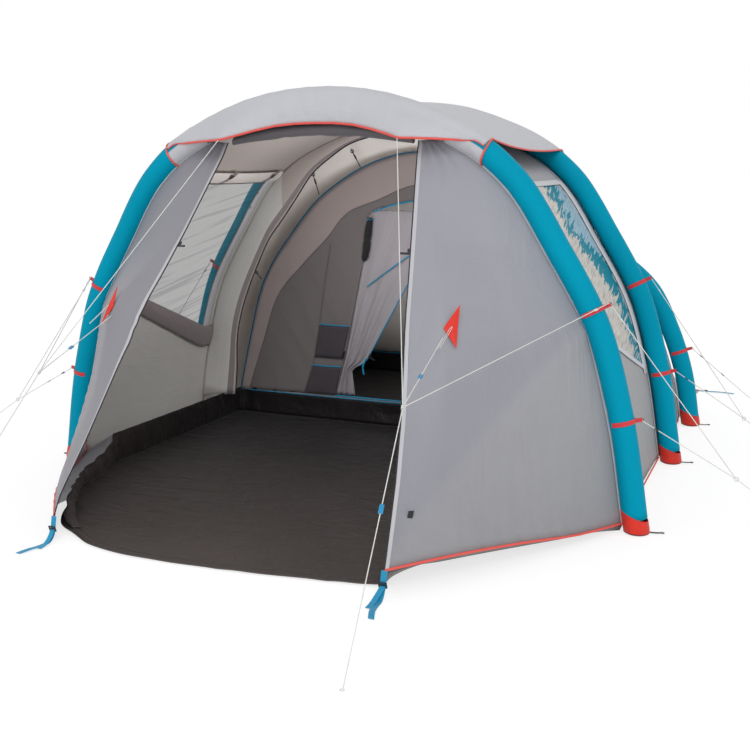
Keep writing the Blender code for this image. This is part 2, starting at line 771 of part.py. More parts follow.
def wing_rows():
    """Rows of the right-hand wing, bottom to top, from its free edge to the beam."""
    corner, bend, top = door_edge(1)
    lining = [point for point in main_lining()[::-1] if point[0] > DOOR_TOP_HALF_WIDTH]
    seam = [Vector((x, -WING_SEAM, z)) for x, z in lining]
    free = [corner.lerp(bend, share / WING_ROW_SHARES[-1]) for share in WING_ROW_SHARES]
    above = len(seam) - len(free)
    free += [bend.lerp(top, (i + 1) / above) for i in range(above)]
    rows = []
    for i, (start, end) in enumerate(zip(free, seam)):
        across = (end - start).normalized()
        pull = across.cross(AXIS_Z).normalized() * WING_PULL
        bulge = WING_BULGE_SHARES[i] if i < len(WING_BULGE_SHARES) else (0.0,) * len(WING_COLUMN_SHARES)
        scale = WING_HEM_SWELL / WING_PULL if i == 0 else 1.0
        rows.append([start.lerp(end, share) + pull * (push * scale)
                     for share, push in zip(WING_COLUMN_SHARES, bulge)])
    return rows


def porch_wing(side, parent):
    """Wing from the front beam to the door's free edge, pulled outward at the guy line's patch."""
    rows = [[to_side(point, side) for point in row] for row in wing_rows()]
    outside_point = Vector((PORCH_HALF_WIDTH * side * 4.0, -4.0 * PORCH_DEPTH, PORCH_DEPTH))
    sheet(f"porch_wing_{side_name(side)}", rows, "fly", parent, outside_point)


def lining_height(x):
    """Height of the lining's outer face over a place between its feet."""
    lining = main_lining()
    for first, second in zip(lining, lining[1:]):
        if first[0] <= x <= second[0] and first[0] < second[0]:
            return first[1] + (second[1] - first[1]) * (x - first[0]) / (second[0] - first[0])
    return lining[0][1]


def front_door_rolled(parent):
    """Front door rolled up under the hood, hanging from the front seam by its own cloth."""
    bm = bmesh.new()
    rings = []
    for place, girth in zip(DOOR_ROLL_STATION_SHARES, DOOR_ROLL_RADIUS_SHARES):
        x = place * DOOR_ROLL_HALF_LENGTH
        drop = (DOOR_ROLL_MIDDLE_HEIGHT - DOOR_ROLL_END_HEIGHT) * place ** 2
        centre_z = DOOR_ROLL_MIDDLE_HEIGHT - drop
        radius = DOOR_ROLL_RADIUS * girth
        top = lining_height(x) - GAP
        back = -GAP
        front = back - 2.0 * CLOTH
        middle = (back + front) / 2.0
        start = math.asin(CLOTH / radius)
        sweep = 2.0 * math.pi - 2.0 * start
        ring = [Vector((x, front, top))]
        for k in range(DOOR_ROLL_SIDES + 1):
            turn = math.pi / 2.0 + start + sweep * k / DOOR_ROLL_SIDES
            ring.append(Vector((x, middle + math.cos(turn) * radius, centre_z + math.sin(turn) * radius)))
        ring.append(Vector((x, back, top)))
        rings.append(add_ring(bm, ring))
    bridge(bm, rings)
    bm.faces.new(rings[0])
    bm.faces.new(rings[-1])
    solid("front_door_rolled", bm, "fly", parent, smooth=True)


def window_curtain(parent):
    """Curtain rolled flat above the left window, against the wall."""
    lining = main_lining()
    knee = len(lining) // 2 - 4
    low, high = Vector(lining[knee]), Vector(lining[knee + 1])
    along = (high - low).normalized()
    out = outward(low, high)
    middle = low.lerp(high, 0.5) - out * (CLOTH + GAP + CURTAIN_HALF_THICKNESS)
    bm = bmesh.new()
    rings = []
    for place, girth in zip(CURTAIN_STATION_SHARES, CURTAIN_THICKNESS_SHARES):
        y = CURTAIN_FRONT_Y + (CURTAIN_REAR_Y - CURTAIN_FRONT_Y) * place
        ring = []
        for k in range(CURTAIN_SIDES):
            turn = 2.0 * math.pi * (k + 0.5) / CURTAIN_SIDES
            flat = middle + along * (math.cos(turn) * CURTAIN_HALF_HEIGHT)
            flat += out * (math.sin(turn) * CURTAIN_HALF_THICKNESS * girth)
            ring.append(Vector((flat.x, y, flat.y)))
        rings.append(add_ring(bm, ring))
    bridge(bm, rings)
    bm.faces.new(rings[0])
    bm.faces.new(rings[-1])
    solid("window_curtain_rolled", bm, "lining", parent, smooth=True)


# Floors

def inset_loop(loop, distance):
    """Closed (x, y) loop, walked anticlockwise, moved inward by a distance."""
    moved = []
    count = len(loop)
    for i, point in enumerate(loop):
        before = (Vector(point) - Vector(loop[i - 1])).normalized()
        after = (Vector(loop[(i + 1) % count]) - Vector(point)).normalized()
        normal = (Vector((-before.y, before.x)) + Vector((-after.y, after.x))).normalized()
        reach = distance / normal.dot(Vector((-before.y, before.x)))
        moved.append((point[0] + normal.x * reach, point[1] + normal.y * reach))
    return moved


def tray(name, loop, heights, thickness, colour, parent):
    """Floor with an upstanding wall of its own height at each corner of the loop."""
    inner = inset_loop(loop, thickness)
    bm = bmesh.new()
    rings = [
        add_ring(bm, [Vector((x, y, 0.0)) for x, y in loop]),
        add_ring(bm, [Vector((x, y, height)) for (x, y), height in zip(loop, heights)]),
        add_ring(bm, [Vector((x, y, height)) for (x, y), height in zip(inner, heights)]),
        add_ring(bm, [Vector((x, y, thickness)) for x, y in inner]),
    ]
    bridge(bm, rings)
    bm.faces.new(rings[0])
    bm.faces.new(rings[-1])
    solid(name, bm, colour, parent)


def living_groundsheet(parent):
    """Groundsheet of the living room and porch: bathtub walls along its sides, lower inside the porch wings."""
    right = [(x * GROUND_HALF_WIDTH, y * PORCH_DEPTH) for x, y in GROUND_FRONT_SHARES]
    left = [(-x, y) for x, y in right]
    corner = GROUND_HALF_WIDTH - GROUND_CORNER
    rear = [(GROUND_HALF_WIDTH, GROUND_REAR_Y), (corner, GROUND_REAR_Y),
            (-corner, GROUND_REAR_Y), (-GROUND_HALF_WIDTH, GROUND_REAR_Y)]
    loop = rear + left + right[::-1]
    heights = [GROUND_WALL, GROUND_LIP, GROUND_LIP, GROUND_WALL]
    brim = [GROUND_WALL * share for share in GROUND_BRIM_SHARES]
    brim += [GROUND_LIP] * (len(right) - len(brim))
    heights += brim + brim[::-1]
    tray("living_groundsheet", loop, heights, GROUND_THICKNESS, "ground", parent)


def bedroom_tray(parent):
    """Bedroom floor with walls all round."""
    loop = [
        (-BEDROOM_HALF_WIDTH, BEDROOM_FRONT_Y), (BEDROOM_HALF_WIDTH, BEDROOM_FRONT_Y),
        (BEDROOM_REAR_HALF_WIDTH, BEDROOM_REAR_Y), (-BEDROOM_REAR_HALF_WIDTH, BEDROOM_REAR_Y),
    ]
    tray("bedroom_tray", loop, [TRAY_WALL] * len(loop), TRAY_THICKNESS, "ground", parent)


# Bedroom

def canopy_outline(shares, half_width, crown):
    """Outline of the canopy on the tray's walls, left to right."""
    base = TRAY_WALL + CLOTH + GAP
    right = [(x * half_width, base + z * (crown - base)) for x, z in shares]
    return [(-x, z) for x, z in right[:-1]] + right[::-1]


def bedroom_canopy(parent):
    """Sides, roof and sloping back of the bedroom, on the tray's walls."""
    front_y = BEDROOM_FRONT_Y + CLOTH + SEAM + GAP
    share = (REAR_BEAM_Y - BEDROOM_FRONT_Y) / (BEDROOM_REAR_Y - BEDROOM_FRONT_Y)
    middle_half = BEDROOM_HALF_WIDTH + (BEDROOM_REAR_HALF_WIDTH - BEDROOM_HALF_WIDTH) * share
    front = canopy_outline(CANOPY_FRONT_SHARES, BEDROOM_HALF_WIDTH, CANOPY_FRONT_CROWN)
    middle = canopy_outline(CANOPY_MIDDLE_SHARES, middle_half, CANOPY_MIDDLE_CROWN)
    base = TRAY_WALL + CLOTH + GAP
    right = [(x * BEDROOM_REAR_HALF_WIDTH, base) for x in CANOPY_REAR_SHARES]
    rear = [(-x, z) for x, z in right[:-1]] + right[::-1]
    rows = [in_space(front, front_y), in_space(middle, REAR_BEAM_Y), in_space(rear, BEDROOM_REAR_Y)]
    sheet("bedroom_canopy", rows, "lining", parent, sky())


def doorway_outline():
    """Outline of the bedroom's doorway, left foot over the top to the right foot."""
    rise = DOORWAY_TOP - DOORWAY_SILL
    right = [(x * DOORWAY_HALF_WIDTH, DOORWAY_SILL + z * rise) for x, z in DOORWAY_SHARES]
    return [(-x, z) for x, z in right[:-1]] + right[::-1]


def doorway_hole():
    """Doorway's outline carried down past the wall's lower edge: the tray's wall is its sill."""
    outline = doorway_outline()
    below = wall_outline()[0][1] - CUT_OVERRUN
    return [(outline[0][0], below)] + outline + [(outline[-1][0], below)]


def hanger(corner, neighbours, fly_corner):
    """Outline of a hanging tab from a corner of the bedroom's wall to just inside the fly."""
    y_share = (BEDROOM_FRONT_Y + CLOTH - MIDDLE_BEAM_Y - SEAM) / (REAR_BEAM_Y - MIDDLE_BEAM_Y - SEAM)
    fly = Vector(main_lining()[fly_corner]).lerp(Vector(rear_lining()[fly_corner]), y_share)
    before, after = (Vector(place) for place in neighbours)
    fly_run = Vector(main_lining()[fly_corner + 1]) - Vector(main_lining()[fly_corner - 1])
    fly_normal = Vector((-fly_run.y, fly_run.x)).normalized()
    tip = fly - fly_normal * (CLOTH / math.cos(CROWN_SLOPE) + SEAM)
    corner = Vector(corner)
    reach = (tip - corner).normalized()
    side = Vector((reach.y, -reach.x)) * (HANGER_TIP / 2.0)
    first = corner + (before - corner).normalized() * (HANGER_WIDTH / 2.0)
    last = corner + (after - corner).normalized() * (HANGER_WIDTH / 2.0)
    return [tuple(first), tuple(tip - side), tuple(tip + side), tuple(last)]


def wall_outline():
    """Outline of the bedroom's front wall with its hanging tabs, left to right."""
    outline = canopy_outline(CANOPY_FRONT_SHARES, BEDROOM_HALF_WIDTH, CANOPY_FRONT_CROWN)
    places = dict(HANGER_PLACES)
    half = len(outline) // 2
    left = []
    for i, corner in enumerate(outline[:half]):
        if i in places:
            left += hanger(corner, (outline[i - 1], outline[i + 1]), places[i])
        else:
            left.append(corner)
    return left + [outline[half]] + [(-x, z) for x, z in left[::-1]]


def bedroom_front_wall(parent):
    """Front wall of the bedroom with its doorway and the tabs that hang it from the fly."""
    outline = wall_outline()
    bm = bmesh.new()
    ends = [add_ring(bm, in_space(outline, BEDROOM_FRONT_Y)),
            add_ring(bm, in_space(outline, BEDROOM_FRONT_Y + CLOTH))]
    bridge(bm, ends)
    bm.faces.new(ends[0])
    bm.faces.new(ends[1])
    wall = solid("bedroom_front_wall", bm, "inner", parent)
    hole = bmesh.new()
    tool = [add_ring(hole, in_space(doorway_hole(), BEDROOM_FRONT_Y - CUT_OVERRUN)),
            add_ring(hole, in_space(doorway_hole(), BEDROOM_FRONT_Y + CUT_OVERRUN))]
    bridge(hole, tool)
    hole.faces.new(tool[0])
    hole.faces.new(tool[1])
    cut(wall, hidden_tool("cutter_doorway", hole, parent))


def doorway_left(height):
    """Left edge of the doorway at a height."""
    outline = doorway_outline()
    for first, second in zip(outline, outline[1:]):
        if first[1] <= height <= second[1]:
            return at_height(first, second, height)[0]
    return outline[0][0]


def door_zip_end(high):
    """Lower or upper end of the straight run of the bedroom door's zip."""
    y = BEDROOM_FRONT_Y + CLOTH / 2.0
    if high:
        return Vector((DOOR_ZIP_HIGH_X, y, DOOR_ZIP_HIGH_HEIGHT))
    return Vector((DOOR_ZIP_LOW_X, y, DOOR_ZIP_LOW_HEIGHT))


def bedroom_door(parent):
    """Bedroom door drawn to the left of its doorway, in folds that deepen downward."""
    low, high = door_zip_end(False), door_zip_end(True)
    bend = doorway_outline()[1][1]
    shares = [i / DOOR_ZIP_ROWS for i in range(DOOR_ZIP_ROWS + 1)]
    shares.append((high.z - bend) / (high.z - low.z))
    edges = [(DOOR_HEAD_HEIGHT, DOOR_HEAD_X)]
    for share in sorted(shares):
        point = high.lerp(low, share)
        edges.append((point.z, point.x))
    waist_left = doorway_left(DOOR_WAIST_HEIGHT)
    tail_left = doorway_left(DOOR_TAIL_HEIGHT)
    edges.append((DOOR_WAIST_HEIGHT, waist_left + DOOR_WAIST_WIDTH))
    edges.append((DOOR_TAIL_HEIGHT, tail_left + DOOR_TAIL_WIDTH))
    rows = []
    for height, right in edges:
        left = doorway_left(height) + CLOTH
        depth = (DOOR_HEAD_HEIGHT - height) / (DOOR_HEAD_HEIGHT - DOOR_TAIL_HEIGHT)
        row = []
        for k in range(DOOR_COLUMNS + 1):
            share = k / DOOR_COLUMNS
            wave = math.sin(2.0 * math.pi * DOOR_FOLDS * share) * math.sin(math.pi * share) ** 0.5
            x = left + (right - left) * share
            row.append(Vector((x, low.y + DOOR_FOLD_DEPTH * depth * wave, height)))
        rows.append(row)
    sheet("bedroom_door", rows, "inner", parent, Vector((0.0, -PORCH_DEPTH, DOORWAY_TOP)))


# Small parts

def slider_plate(name, centre, along, away, parent):
    """Zip slider with its pull, flat beside a zip's edge; along is the way that it slides."""
    across = along.cross(away).normalized()
    half = SLIDER_LENGTH / 2.0
    outline = (
        (-half, 0.0), (half, 0.0), (half, SLIDER_WIDTH), (-half + SLIDER_PULL_WIDTH, SLIDER_WIDTH),
        (-half + SLIDER_PULL_WIDTH, SLIDER_WIDTH + SLIDER_PULL_LENGTH),
        (-half, SLIDER_WIDTH + SLIDER_PULL_LENGTH),
    )
    bm = bmesh.new()
    ends = []
    for end in (-0.5, 0.5):
        shift = across * (end * SLIDER_THICKNESS)
        ends.append(add_ring(bm, [centre + along * a + away * (b + SLIDER_GAP) + shift
                                  for a, b in outline]))
    bridge(bm, ends)
    bm.faces.new(ends[0])
    bm.faces.new(ends[1])
    solid(name, bm, "black", parent, origin=centre)


def porch_slider(side, parent):
    """Slider on the straight run of a wing's free edge."""
    corner, bend, _ = door_edge(side)
    along = (bend - corner).normalized()
    seam = Vector((main_lining()[0][0] * -side, 0.0, bend.z))
    away = (bend - seam)
    away = (away - along * away.dot(along)).normalized()
    slider_plate(f"door_zip_slider_{side_name(side)}", corner.lerp(bend, PORCH_SLIDER_SHARE),
                 along, away, parent)


def bedroom_slider(parent):
    """Slider on the straight run of the bedroom door's zip."""
    low, high = door_zip_end(False), door_zip_end(True)
    along = (high - low).normalized()
    away = Vector((along.z, 0.0, -along.x))
    slider_plate("bedroom_zip_slider", low.lerp(high, BEDROOM_SLIDER_SHARE), along, away, parent)


def webbing(name, path, across, width, parent):
    """Flat band of webbing along a path of places on its underside."""
    bm = bmesh.new()
    rings = []
    for i, point in enumerate(path):
        before = path[max(i - 1, 0)]
        after = path[min(i + 1, len(path) - 1)]
        normal = (after - before).cross(across).normalized()
        side = across * (width / 2.0)
        thick = normal * CORNER_STRAP_THICKNESS
        rings.append(add_ring(bm, [point - side, point + side, point + side + thick,
                                   point - side + thick]))
    bridge(bm, rings)
    bm.faces.new(rings[0])
    bm.faces.new(rings[-1])
    return solid(name, bm, "blue", parent)


def front_corner_strap(side, parent):
    """Webbing from a wing's lower corner down to the ground and out in front."""
    corner = Vector((PORCH_HALF_WIDTH, -PORCH_DEPTH, PORCH_CORNER_HEIGHT))
    ground = CORNER_STRAP_THICKNESS + STRAP_LIFT
    top = corner + Vector((0.0, 0.0, -SEAM))
    knee = Vector((corner.x, corner.y - STRAP_STEP, ground + STRAP_STEP))
    toe = Vector((corner.x, corner.y - 3.0 * STRAP_STEP, ground))
    tip = Vector((corner.x + FRONT_STRAP_SPREAD, FRONT_END_Y, ground))
    path = [to_side(point, side) for point in (top, knee, toe, tip)]
    webbing(f"front_corner_strap_{side_name(side)}", path, Vector((1.0, 0.0, 0.0)),
            CORNER_STRAP_WIDTH, parent)


def rear_corner_strap(side, parent):
    """Webbing from the rear shell's ground corner outward along the ground."""
    corner = rear_edge()[-1]
    ground = CORNER_STRAP_THICKNESS + STRAP_LIFT
    start = Vector((corner.x + GAP, corner.y, ground))
    tip = start + Vector((REAR_STRAP_REACH, 0.0, 0.0))
    path = [to_side(point, side) for point in (start, tip)]
    webbing(f"rear_corner_strap_{side_name(side)}", path, AXIS_Y * side, CORNER_STRAP_WIDTH, parent)


# Guy lines

def welded_cord(name, points):
    """Closed bmesh of a round cord through points, from a bevelled curve with filled ends."""
    curve = bpy.data.curves.new(name, "CURVE")
    curve.dimensions = "3D"
    curve.bevel_depth = GUY_RADIUS
    curve.bevel_resolution = GUY_RESOLUTION
    curve.use_fill_caps = True
    spline = curve.splines.new("POLY")
    spline.points.add(len(points) - 1)
    for place, point in zip(spline.points, points):
        place.co = (*point, 1.0)
    holder = bpy.data.objects.new(name, curve)
    bpy.context.scene.collection.objects.link(holder)
    seen = holder.evaluated_get(bpy.context.evaluated_depsgraph_get())
    bm = bmesh.new()
    bm.from_mesh(bpy.data.meshes.new_from_object(seen))
    bmesh.ops.remove_doubles(bm, verts=bm.verts, dist=WELD)
    bpy.data.objects.remove(holder, do_unlink=True)
    bpy.data.curves.remove(curve)
    return bm


def guy_set(name, lines, knot, side, parent):
    """Guy lines that meet at a knot, as one piece."""
    if knot is None:
        bm = welded_cord(name, [to_side(point, side) for point in lines[0]])
        return solid(name, bm, "cord", parent)
    bm = bmesh.new()
    bmesh.ops.create_icosphere(bm, subdivisions=2, radius=KNOT_RADIUS)
    bmesh.ops.translate(bm, verts=bm.verts, vec=to_side(knot, side))
    made = solid(name, bm, "cord", parent)
    for i, line in enumerate(lines):
        start = line[0] + (line[1] - line[0]).normalized() * (KNOT_RADIUS / 2.0)
        tool = welded_cord(f"{name}_line_{i}", [to_side(point, side) for point in (start, line[1])])
        cut(made, hidden_tool(f"joiner_{name}_{i}", tool, parent), "UNION")
    return made


def patch_place():
    """Centre of the wing's red patch, on its outer face."""
    return wing_rows()[PATCH_ROW_COUNT][PATCH_COLUMN_COUNT]


def patch_line_end():
    """Where a guy line starts, just off the patch."""
    patch = patch_place()
    away = (Vector(GUY_KNOT) - patch).normalized()
    return patch + away * (GUY_RADIUS + SEAM)


def hood_line_end():
    """Where a guy line starts, just under the hood's hem."""
    hem = hood_hem()[-4]
    away = (Vector(GUY_KNOT) - hem).normalized()
    return hem + away * (GUY_RADIUS + SEAM)


def front_guys(side, parent):
    """Three lines from the hood, the patch and the upper strap to a knot, and one to the ground."""
    knot = Vector(GUY_KNOT)
    strap = line_from_tab(MAIN_ARCH, 0.0, UPPER_STRAP_HEIGHT, GUY_KNOT) - AXIS_Y * (2.0 * GUY_RADIUS)
    ends = [hood_line_end(), patch_line_end(), strap, Vector(GUY_FOOT)]
    guy_set(f"front_guy_lines_{side_name(side)}", [[knot, end] for end in ends], knot, side, parent)


def side_guys(name, y, ring, foot, side, parent):
    """Lines from the two straps of a leg to a ring, and one on to the ground."""
    ring = Vector(ring)
    upper = line_from_tab(MAIN_ARCH, y, UPPER_STRAP_HEIGHT, ring) + AXIS_Y * (2.0 * GUY_RADIUS)
    lower = line_from_tab(MAIN_ARCH, y, LOWER_STRAP_HEIGHT, ring)
    ends = [upper, lower, Vector(foot)]
    guy_set(f"{name}_side_guy_lines_{side_name(side)}", [[ring, end] for end in ends], ring, side,
            parent)


def rear_guy(side, parent):
    """Single line from the rear strap to the ground."""
    start = line_from_tab(REAR_ARCH, REAR_BEAM_Y, REAR_STRAP_HEIGHT, REAR_SIDE_FOOT)
    guy_set(f"rear_side_guy_line_{side_name(side)}", [[start, Vector(REAR_SIDE_FOOT)]], None, side,
            parent)


def tensioner(side, parent):
    """Line tensioner threaded on a front guy line, free to slide along it."""
    knot, foot = to_side(GUY_KNOT, side), to_side(GUY_FOOT, side)
    centre = knot.lerp(foot, TENSIONER_SHARE)
    along = (foot - knot).normalized()
    wide = along.cross(AXIS_Z).normalized()
    thick = along.cross(wide)
    bore = GUY_RADIUS + GAP
    sizes = ((-0.5, bore, bore), (-0.5, TENSIONER_HALF_WIDTH, TENSIONER_HALF_THICKNESS),
             (0.5, TENSIONER_HALF_WIDTH, TENSIONER_HALF_THICKNESS), (0.5, bore, bore))
    bm = bmesh.new()
    rings = []
    for end, half_width, half_thickness in sizes:
        ring = []
        for k in range(TENSIONER_SIDES):
            turn = 2.0 * math.pi * (k + 0.5) / TENSIONER_SIDES
            ring.append(centre + along * (end * TENSIONER_LENGTH) + wide * (math.cos(turn) * half_width)
                        + thick * (math.sin(turn) * half_thickness))
        rings.append(add_ring(bm, ring))
    bridge(bm, rings, wrap_rings=True)
    solid(f"guy_tensioner_{side_name(side)}", bm, "blue", parent, origin=centre)


def build_beams(parent):
    """Three beams with their bladders, boots, valves, caps and straps."""
    for name, arch, y in BEAMS:
        beam_sleeve(name, arch, y, parent)
        beam_bladder(name, arch, y, parent)
        valve(name, arch, y, parent)
        valve_cap(name, arch, y, parent)
        for side in (-1, 1):
            foot_boot(name, arch, y, side, parent)
            if name == "rear":
                beam_strap("rear", arch, y, REAR_STRAP_HEIGHT, side, parent)
            else:
                beam_strap(f"{name}_upper", arch, y, UPPER_STRAP_HEIGHT, side, parent)
                beam_strap(f"{name}_lower", arch, y, LOWER_STRAP_HEIGHT, side, parent)


def build_fly(parent):
    """Roof, shells, windows, wings and what is rolled up."""
    roof_cover(parent)
    living_room(parent)
    bedroom_fly(parent)
    rear_fly(parent)
    for side in (-1, 1):
        porch_wing(side, parent)
        porch_slider(side, parent)
        front_corner_strap(side, parent)
        rear_corner_strap(side, parent)
    front_door_rolled(parent)
    window_curtain(parent)


def build_rooms(parent):
    """Floors and the hanging bedroom."""
    living_groundsheet(parent)
    bedroom_tray(parent)
    bedroom_front_wall(parent)
    bedroom_canopy(parent)
    bedroom_door(parent)
    bedroom_slider(parent)


def build_guys(parent):
    """Guy lines and their tensioners on both sides."""
    for side in (-1, 1):
        front_guys(side, parent)
        side_guys("front", 0.0, FRONT_SIDE_RING, FRONT_SIDE_FOOT, side, parent)
        side_guys("middle", MIDDLE_BEAM_Y, MIDDLE_SIDE_RING, MIDDLE_SIDE_FOOT, side, parent)
        rear_guy(side, parent)
        tensioner(side, parent)


def main():
    """Build the tent under one empty that centres its length."""
    clear_scene()
    tent = bpy.data.objects.new("tent", None)
    bpy.context.scene.collection.objects.link(tent)
    tent.location = (0.0, -MIDDLE_OF_LENGTH, 0.0)
    build_beams(tent)
    build_fly(tent)
    build_rooms(tent)
    build_guys(tent)


main()
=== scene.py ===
import bmesh
import bpy
import numpy as np
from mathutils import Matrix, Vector
from numpy import array, clip, cos, exp, full, interp, linspace, pi, radians, sin, stack, zeros
from numpy.linalg import norm


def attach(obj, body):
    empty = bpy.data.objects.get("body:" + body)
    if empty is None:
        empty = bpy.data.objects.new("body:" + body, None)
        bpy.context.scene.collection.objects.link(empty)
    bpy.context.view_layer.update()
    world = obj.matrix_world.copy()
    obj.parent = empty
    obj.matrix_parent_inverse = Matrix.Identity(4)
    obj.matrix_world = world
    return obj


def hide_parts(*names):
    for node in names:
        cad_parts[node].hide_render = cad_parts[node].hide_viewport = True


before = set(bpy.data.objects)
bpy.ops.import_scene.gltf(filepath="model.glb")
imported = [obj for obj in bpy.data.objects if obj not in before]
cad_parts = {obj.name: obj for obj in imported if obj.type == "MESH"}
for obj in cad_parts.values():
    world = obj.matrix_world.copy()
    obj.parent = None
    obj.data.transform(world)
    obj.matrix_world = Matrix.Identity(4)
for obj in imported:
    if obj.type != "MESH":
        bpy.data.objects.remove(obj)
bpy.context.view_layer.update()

# Sizes that several pieces share, in metres. Places are measured from the plane of the front air beam,
# and SHIFT turns them into the row's frame.
SHIFT = 0.979
R = 0.055
BEAM_LENGTH_ROUND = 0.3456
YM, YR, Y_WALL = 1.20, 2.12, 1.3455
MAIN_HALF, MAIN_CROWN = 1.545, 1.907
REAR_HALF, REAR_CROWN = 1.552, 1.335
HEM = 0.035
OFF = -(R + 0.0008)
DRAWN_IN = 0.0420
GUY_D = 0.004
SLOPE = np.arctan((MAIN_CROWN - REAR_CROWN) / (YR - YM))
SIDES = ((-1, "left"), (1, "right"))
# An arch has 17 points, so its parameter is 8 at the crown and 16 at the right foot
CROWN, END = 8.0, 16.0
MAIN_SHARES = ((1.0, 0.0), (0.933, 0.294), (0.858, 0.488), (0.744, 0.650), (0.602, 0.818),
               (0.518, 0.876), (0.401, 0.927), (0.207, 0.982), (0.0, 1.0))
REAR_SHARES = ((1.0, 0.0), (0.960, 0.247), (0.899, 0.449), (0.818, 0.629), (0.657, 0.787),
               (0.515, 0.873), (0.374, 0.933), (0.193, 0.985), (0.0, 1.0))


# Numbers

def full_arch(shares, half, crown):
    right = [(x * half, z * crown) for x, z in shares]
    return array([(-x, z) for x, z in right[:-1]] + right[::-1])


MAIN = full_arch(MAIN_SHARES, MAIN_HALF, MAIN_CROWN)
REAR = full_arch(REAR_SHARES, REAR_HALF, REAR_CROWN)


def spline(points, u):
    """Smooth curve through points at index parameter u."""
    points = np.asarray(points, float)
    u = np.asarray(u, float)
    step = np.diff(points, axis=0)
    size = norm(step, axis=1)[:, None]
    size[size == 0] = 1e-9
    rate = step / size
    slope = np.empty_like(points)
    slope[0], slope[-1] = rate[0], rate[-1]
    slope[1:-1] = (rate[:-1] * size[1:] + rate[1:] * size[:-1]) / (size[1:] + size[:-1])
    i = clip(np.floor(u).astype(int), 0, len(points) - 2)
    t = (u - i)[..., None]
    ma, mb = slope[i] * size[i], slope[i + 1] * size[i]
    t2, t3 = t * t, t * t * t
    ends = (2 * t3 - 3 * t2 + 1) * points[i] + (3 * t2 - 2 * t3) * points[i + 1]
    return ends + (t3 - 2 * t2 + t) * ma + (t3 - t2) * mb


def arch(points, u, off=0.0):
    """(x, z) on an arch at parameter u, moved outward by off."""
    u = np.asarray(u, float)
    d = unit(spline(points, np.minimum(u + 0.02, END)) - spline(points, np.maximum(u - 0.02, 0.0)))
    return spline(points, u) + stack([-d[..., 1], d[..., 0]], -1) * np.asarray(off, float)[..., None]


def fly(u, y, off=OFF):
    """Place on the fly at arch parameter u and length y, off from the beams' centre lines."""
    u, y, off = np.broadcast_arrays(np.asarray(u, float), np.asarray(y, float), np.asarray(off, float))
    s = clip((y - YM) / (YR - YM), 0.0, 1.3)[..., None]
    xz = arch(MAIN, u, off) * (1 - s) + arch(REAR, u, off / cos(SLOPE)) * s
    return stack([xz[..., 0], y, xz[..., 1]], -1)


def u_at(height, y, off=OFF, side=-1):
    """Arch parameter where the fly is at a height, on the left (-1) or right (1)."""
    us = linspace(0.0, 7.9, 500)
    pairs = np.broadcast(np.asarray(height, float), np.asarray(y, float))
    out = array([interp(h, fly(us, at, off)[:, 2], us) for h, at in pairs]).reshape(pairs.shape)
    return out if side < 0 else END - out


def unit(v):
    return v / norm(v, axis=-1, keepdims=True)


def mirror(p, side):
    """Places carried over to a side: as they are for 1, mirrored in x for -1."""
    return np.asarray(p, float) * (side, 1.0, 1.0)


def blend(a, b, count, first=0):
    """Rows in even steps from one row of places to another."""
    return [a * (1 - t) + b * t for t in linspace(0, 1, count)[first:]]


def bay(t):
    """Parabola over 0..1 that is 1 in the middle."""
    return 4 * t * (1 - t)


def bell(x, width):
    return exp(-(x / width) ** 2)


def ring_angles(sides):
    return linspace(0, 2 * pi, sides + 1)[:-1]


def lattice(ix, iy, iz, seed):
    h = (ix * 374761393 + iy * 668265263 + iz * 1442695041 + seed * 1274126177) & 0xFFFFFFFF
    h = ((h ^ (h >> 13)) * 1274126177) & 0xFFFFFFFF
    return ((h ^ (h >> 16)) & 0xFFFF) / 32768.0 - 1.0


def wobble(p, scale, seed):
    """Smooth noise in -1..1 at points; scale is one number or one for each axis."""
    q = np.asarray(p, float) * np.asarray(scale, float)
    base = np.floor(q).astype(np.int64)
    f = q - base
    f = f * f * (3 - 2 * f)
    total = 0.0
    for k in range(8):
        d = (k & 1, k >> 1 & 1, k >> 2 & 1)
        w = 1.0
        for axis in range(3):
            w = w * (f[..., axis] if d[axis] else 1 - f[..., axis])
        total = total + w * lattice(*(base[..., axis] + d[axis] for axis in range(3)), seed)
    return total


def folds(p, direction, pitch, seed):
    """Soft parallel folds across a direction, in 0..1, wandering with noise."""
    along = p @ unit(array(direction, float))
    wander = 0.9 * wobble(p, 1.0 / (pitch * 5), seed) + 0.3 * wobble(p, 1.0 / (pitch * 2), seed + 5)
    return (0.5 + 0.5 * cos(2 * pi * (along / pitch + wander))) ** 2


def patchy(p, scale, seed, more=0.0):
    """How much folds show at points, in 0..1, from smooth noise."""
    return clip(wobble(p, scale, seed) + more, 0, 1)


def grid_normals(grid):
    n = np.cross(np.gradient(grid, axis=0), np.gradient(grid, axis=1))
    size = norm(n, axis=-1)[..., None]
    size[size < 1e-12] = 1.0
    return n / size


def upward_normals(grid):
    """Unit normals of a grid, turned so that the middle one looks up."""
    n = grid_normals(grid)
    return -n if n[n.shape[0] // 2, n.shape[1] // 2, 2] < 0 else n


def arc_points(path, count):
    """A polyline resampled to evenly spaced points."""
    path = np.asarray(path, float)
    size = np.r_[0.0, np.cumsum(norm(np.diff(path, axis=0), axis=1))]
    at = linspace(0.0, size[-1], count)
    return stack([interp(at, size, path[:, k]) for k in range(path.shape[1])], -1)


def smooth_path(path, per):
    """A smooth path through a few points."""
    return spline(path, linspace(0, len(path) - 1, (len(path) - 1) * per + 1))


def path_length(p):
    return float(norm(np.diff(p, axis=0), axis=1).sum())


# Materials

def lin(colour):
    """Linear colour, with full alpha, of an 8-bit one."""
    parts = [c / 255.0 for c in colour]
    return (*[c / 12.92 if c <= 0.04045 else ((c + 0.055) / 1.055) ** 2.4 for c in parts], 1.0)


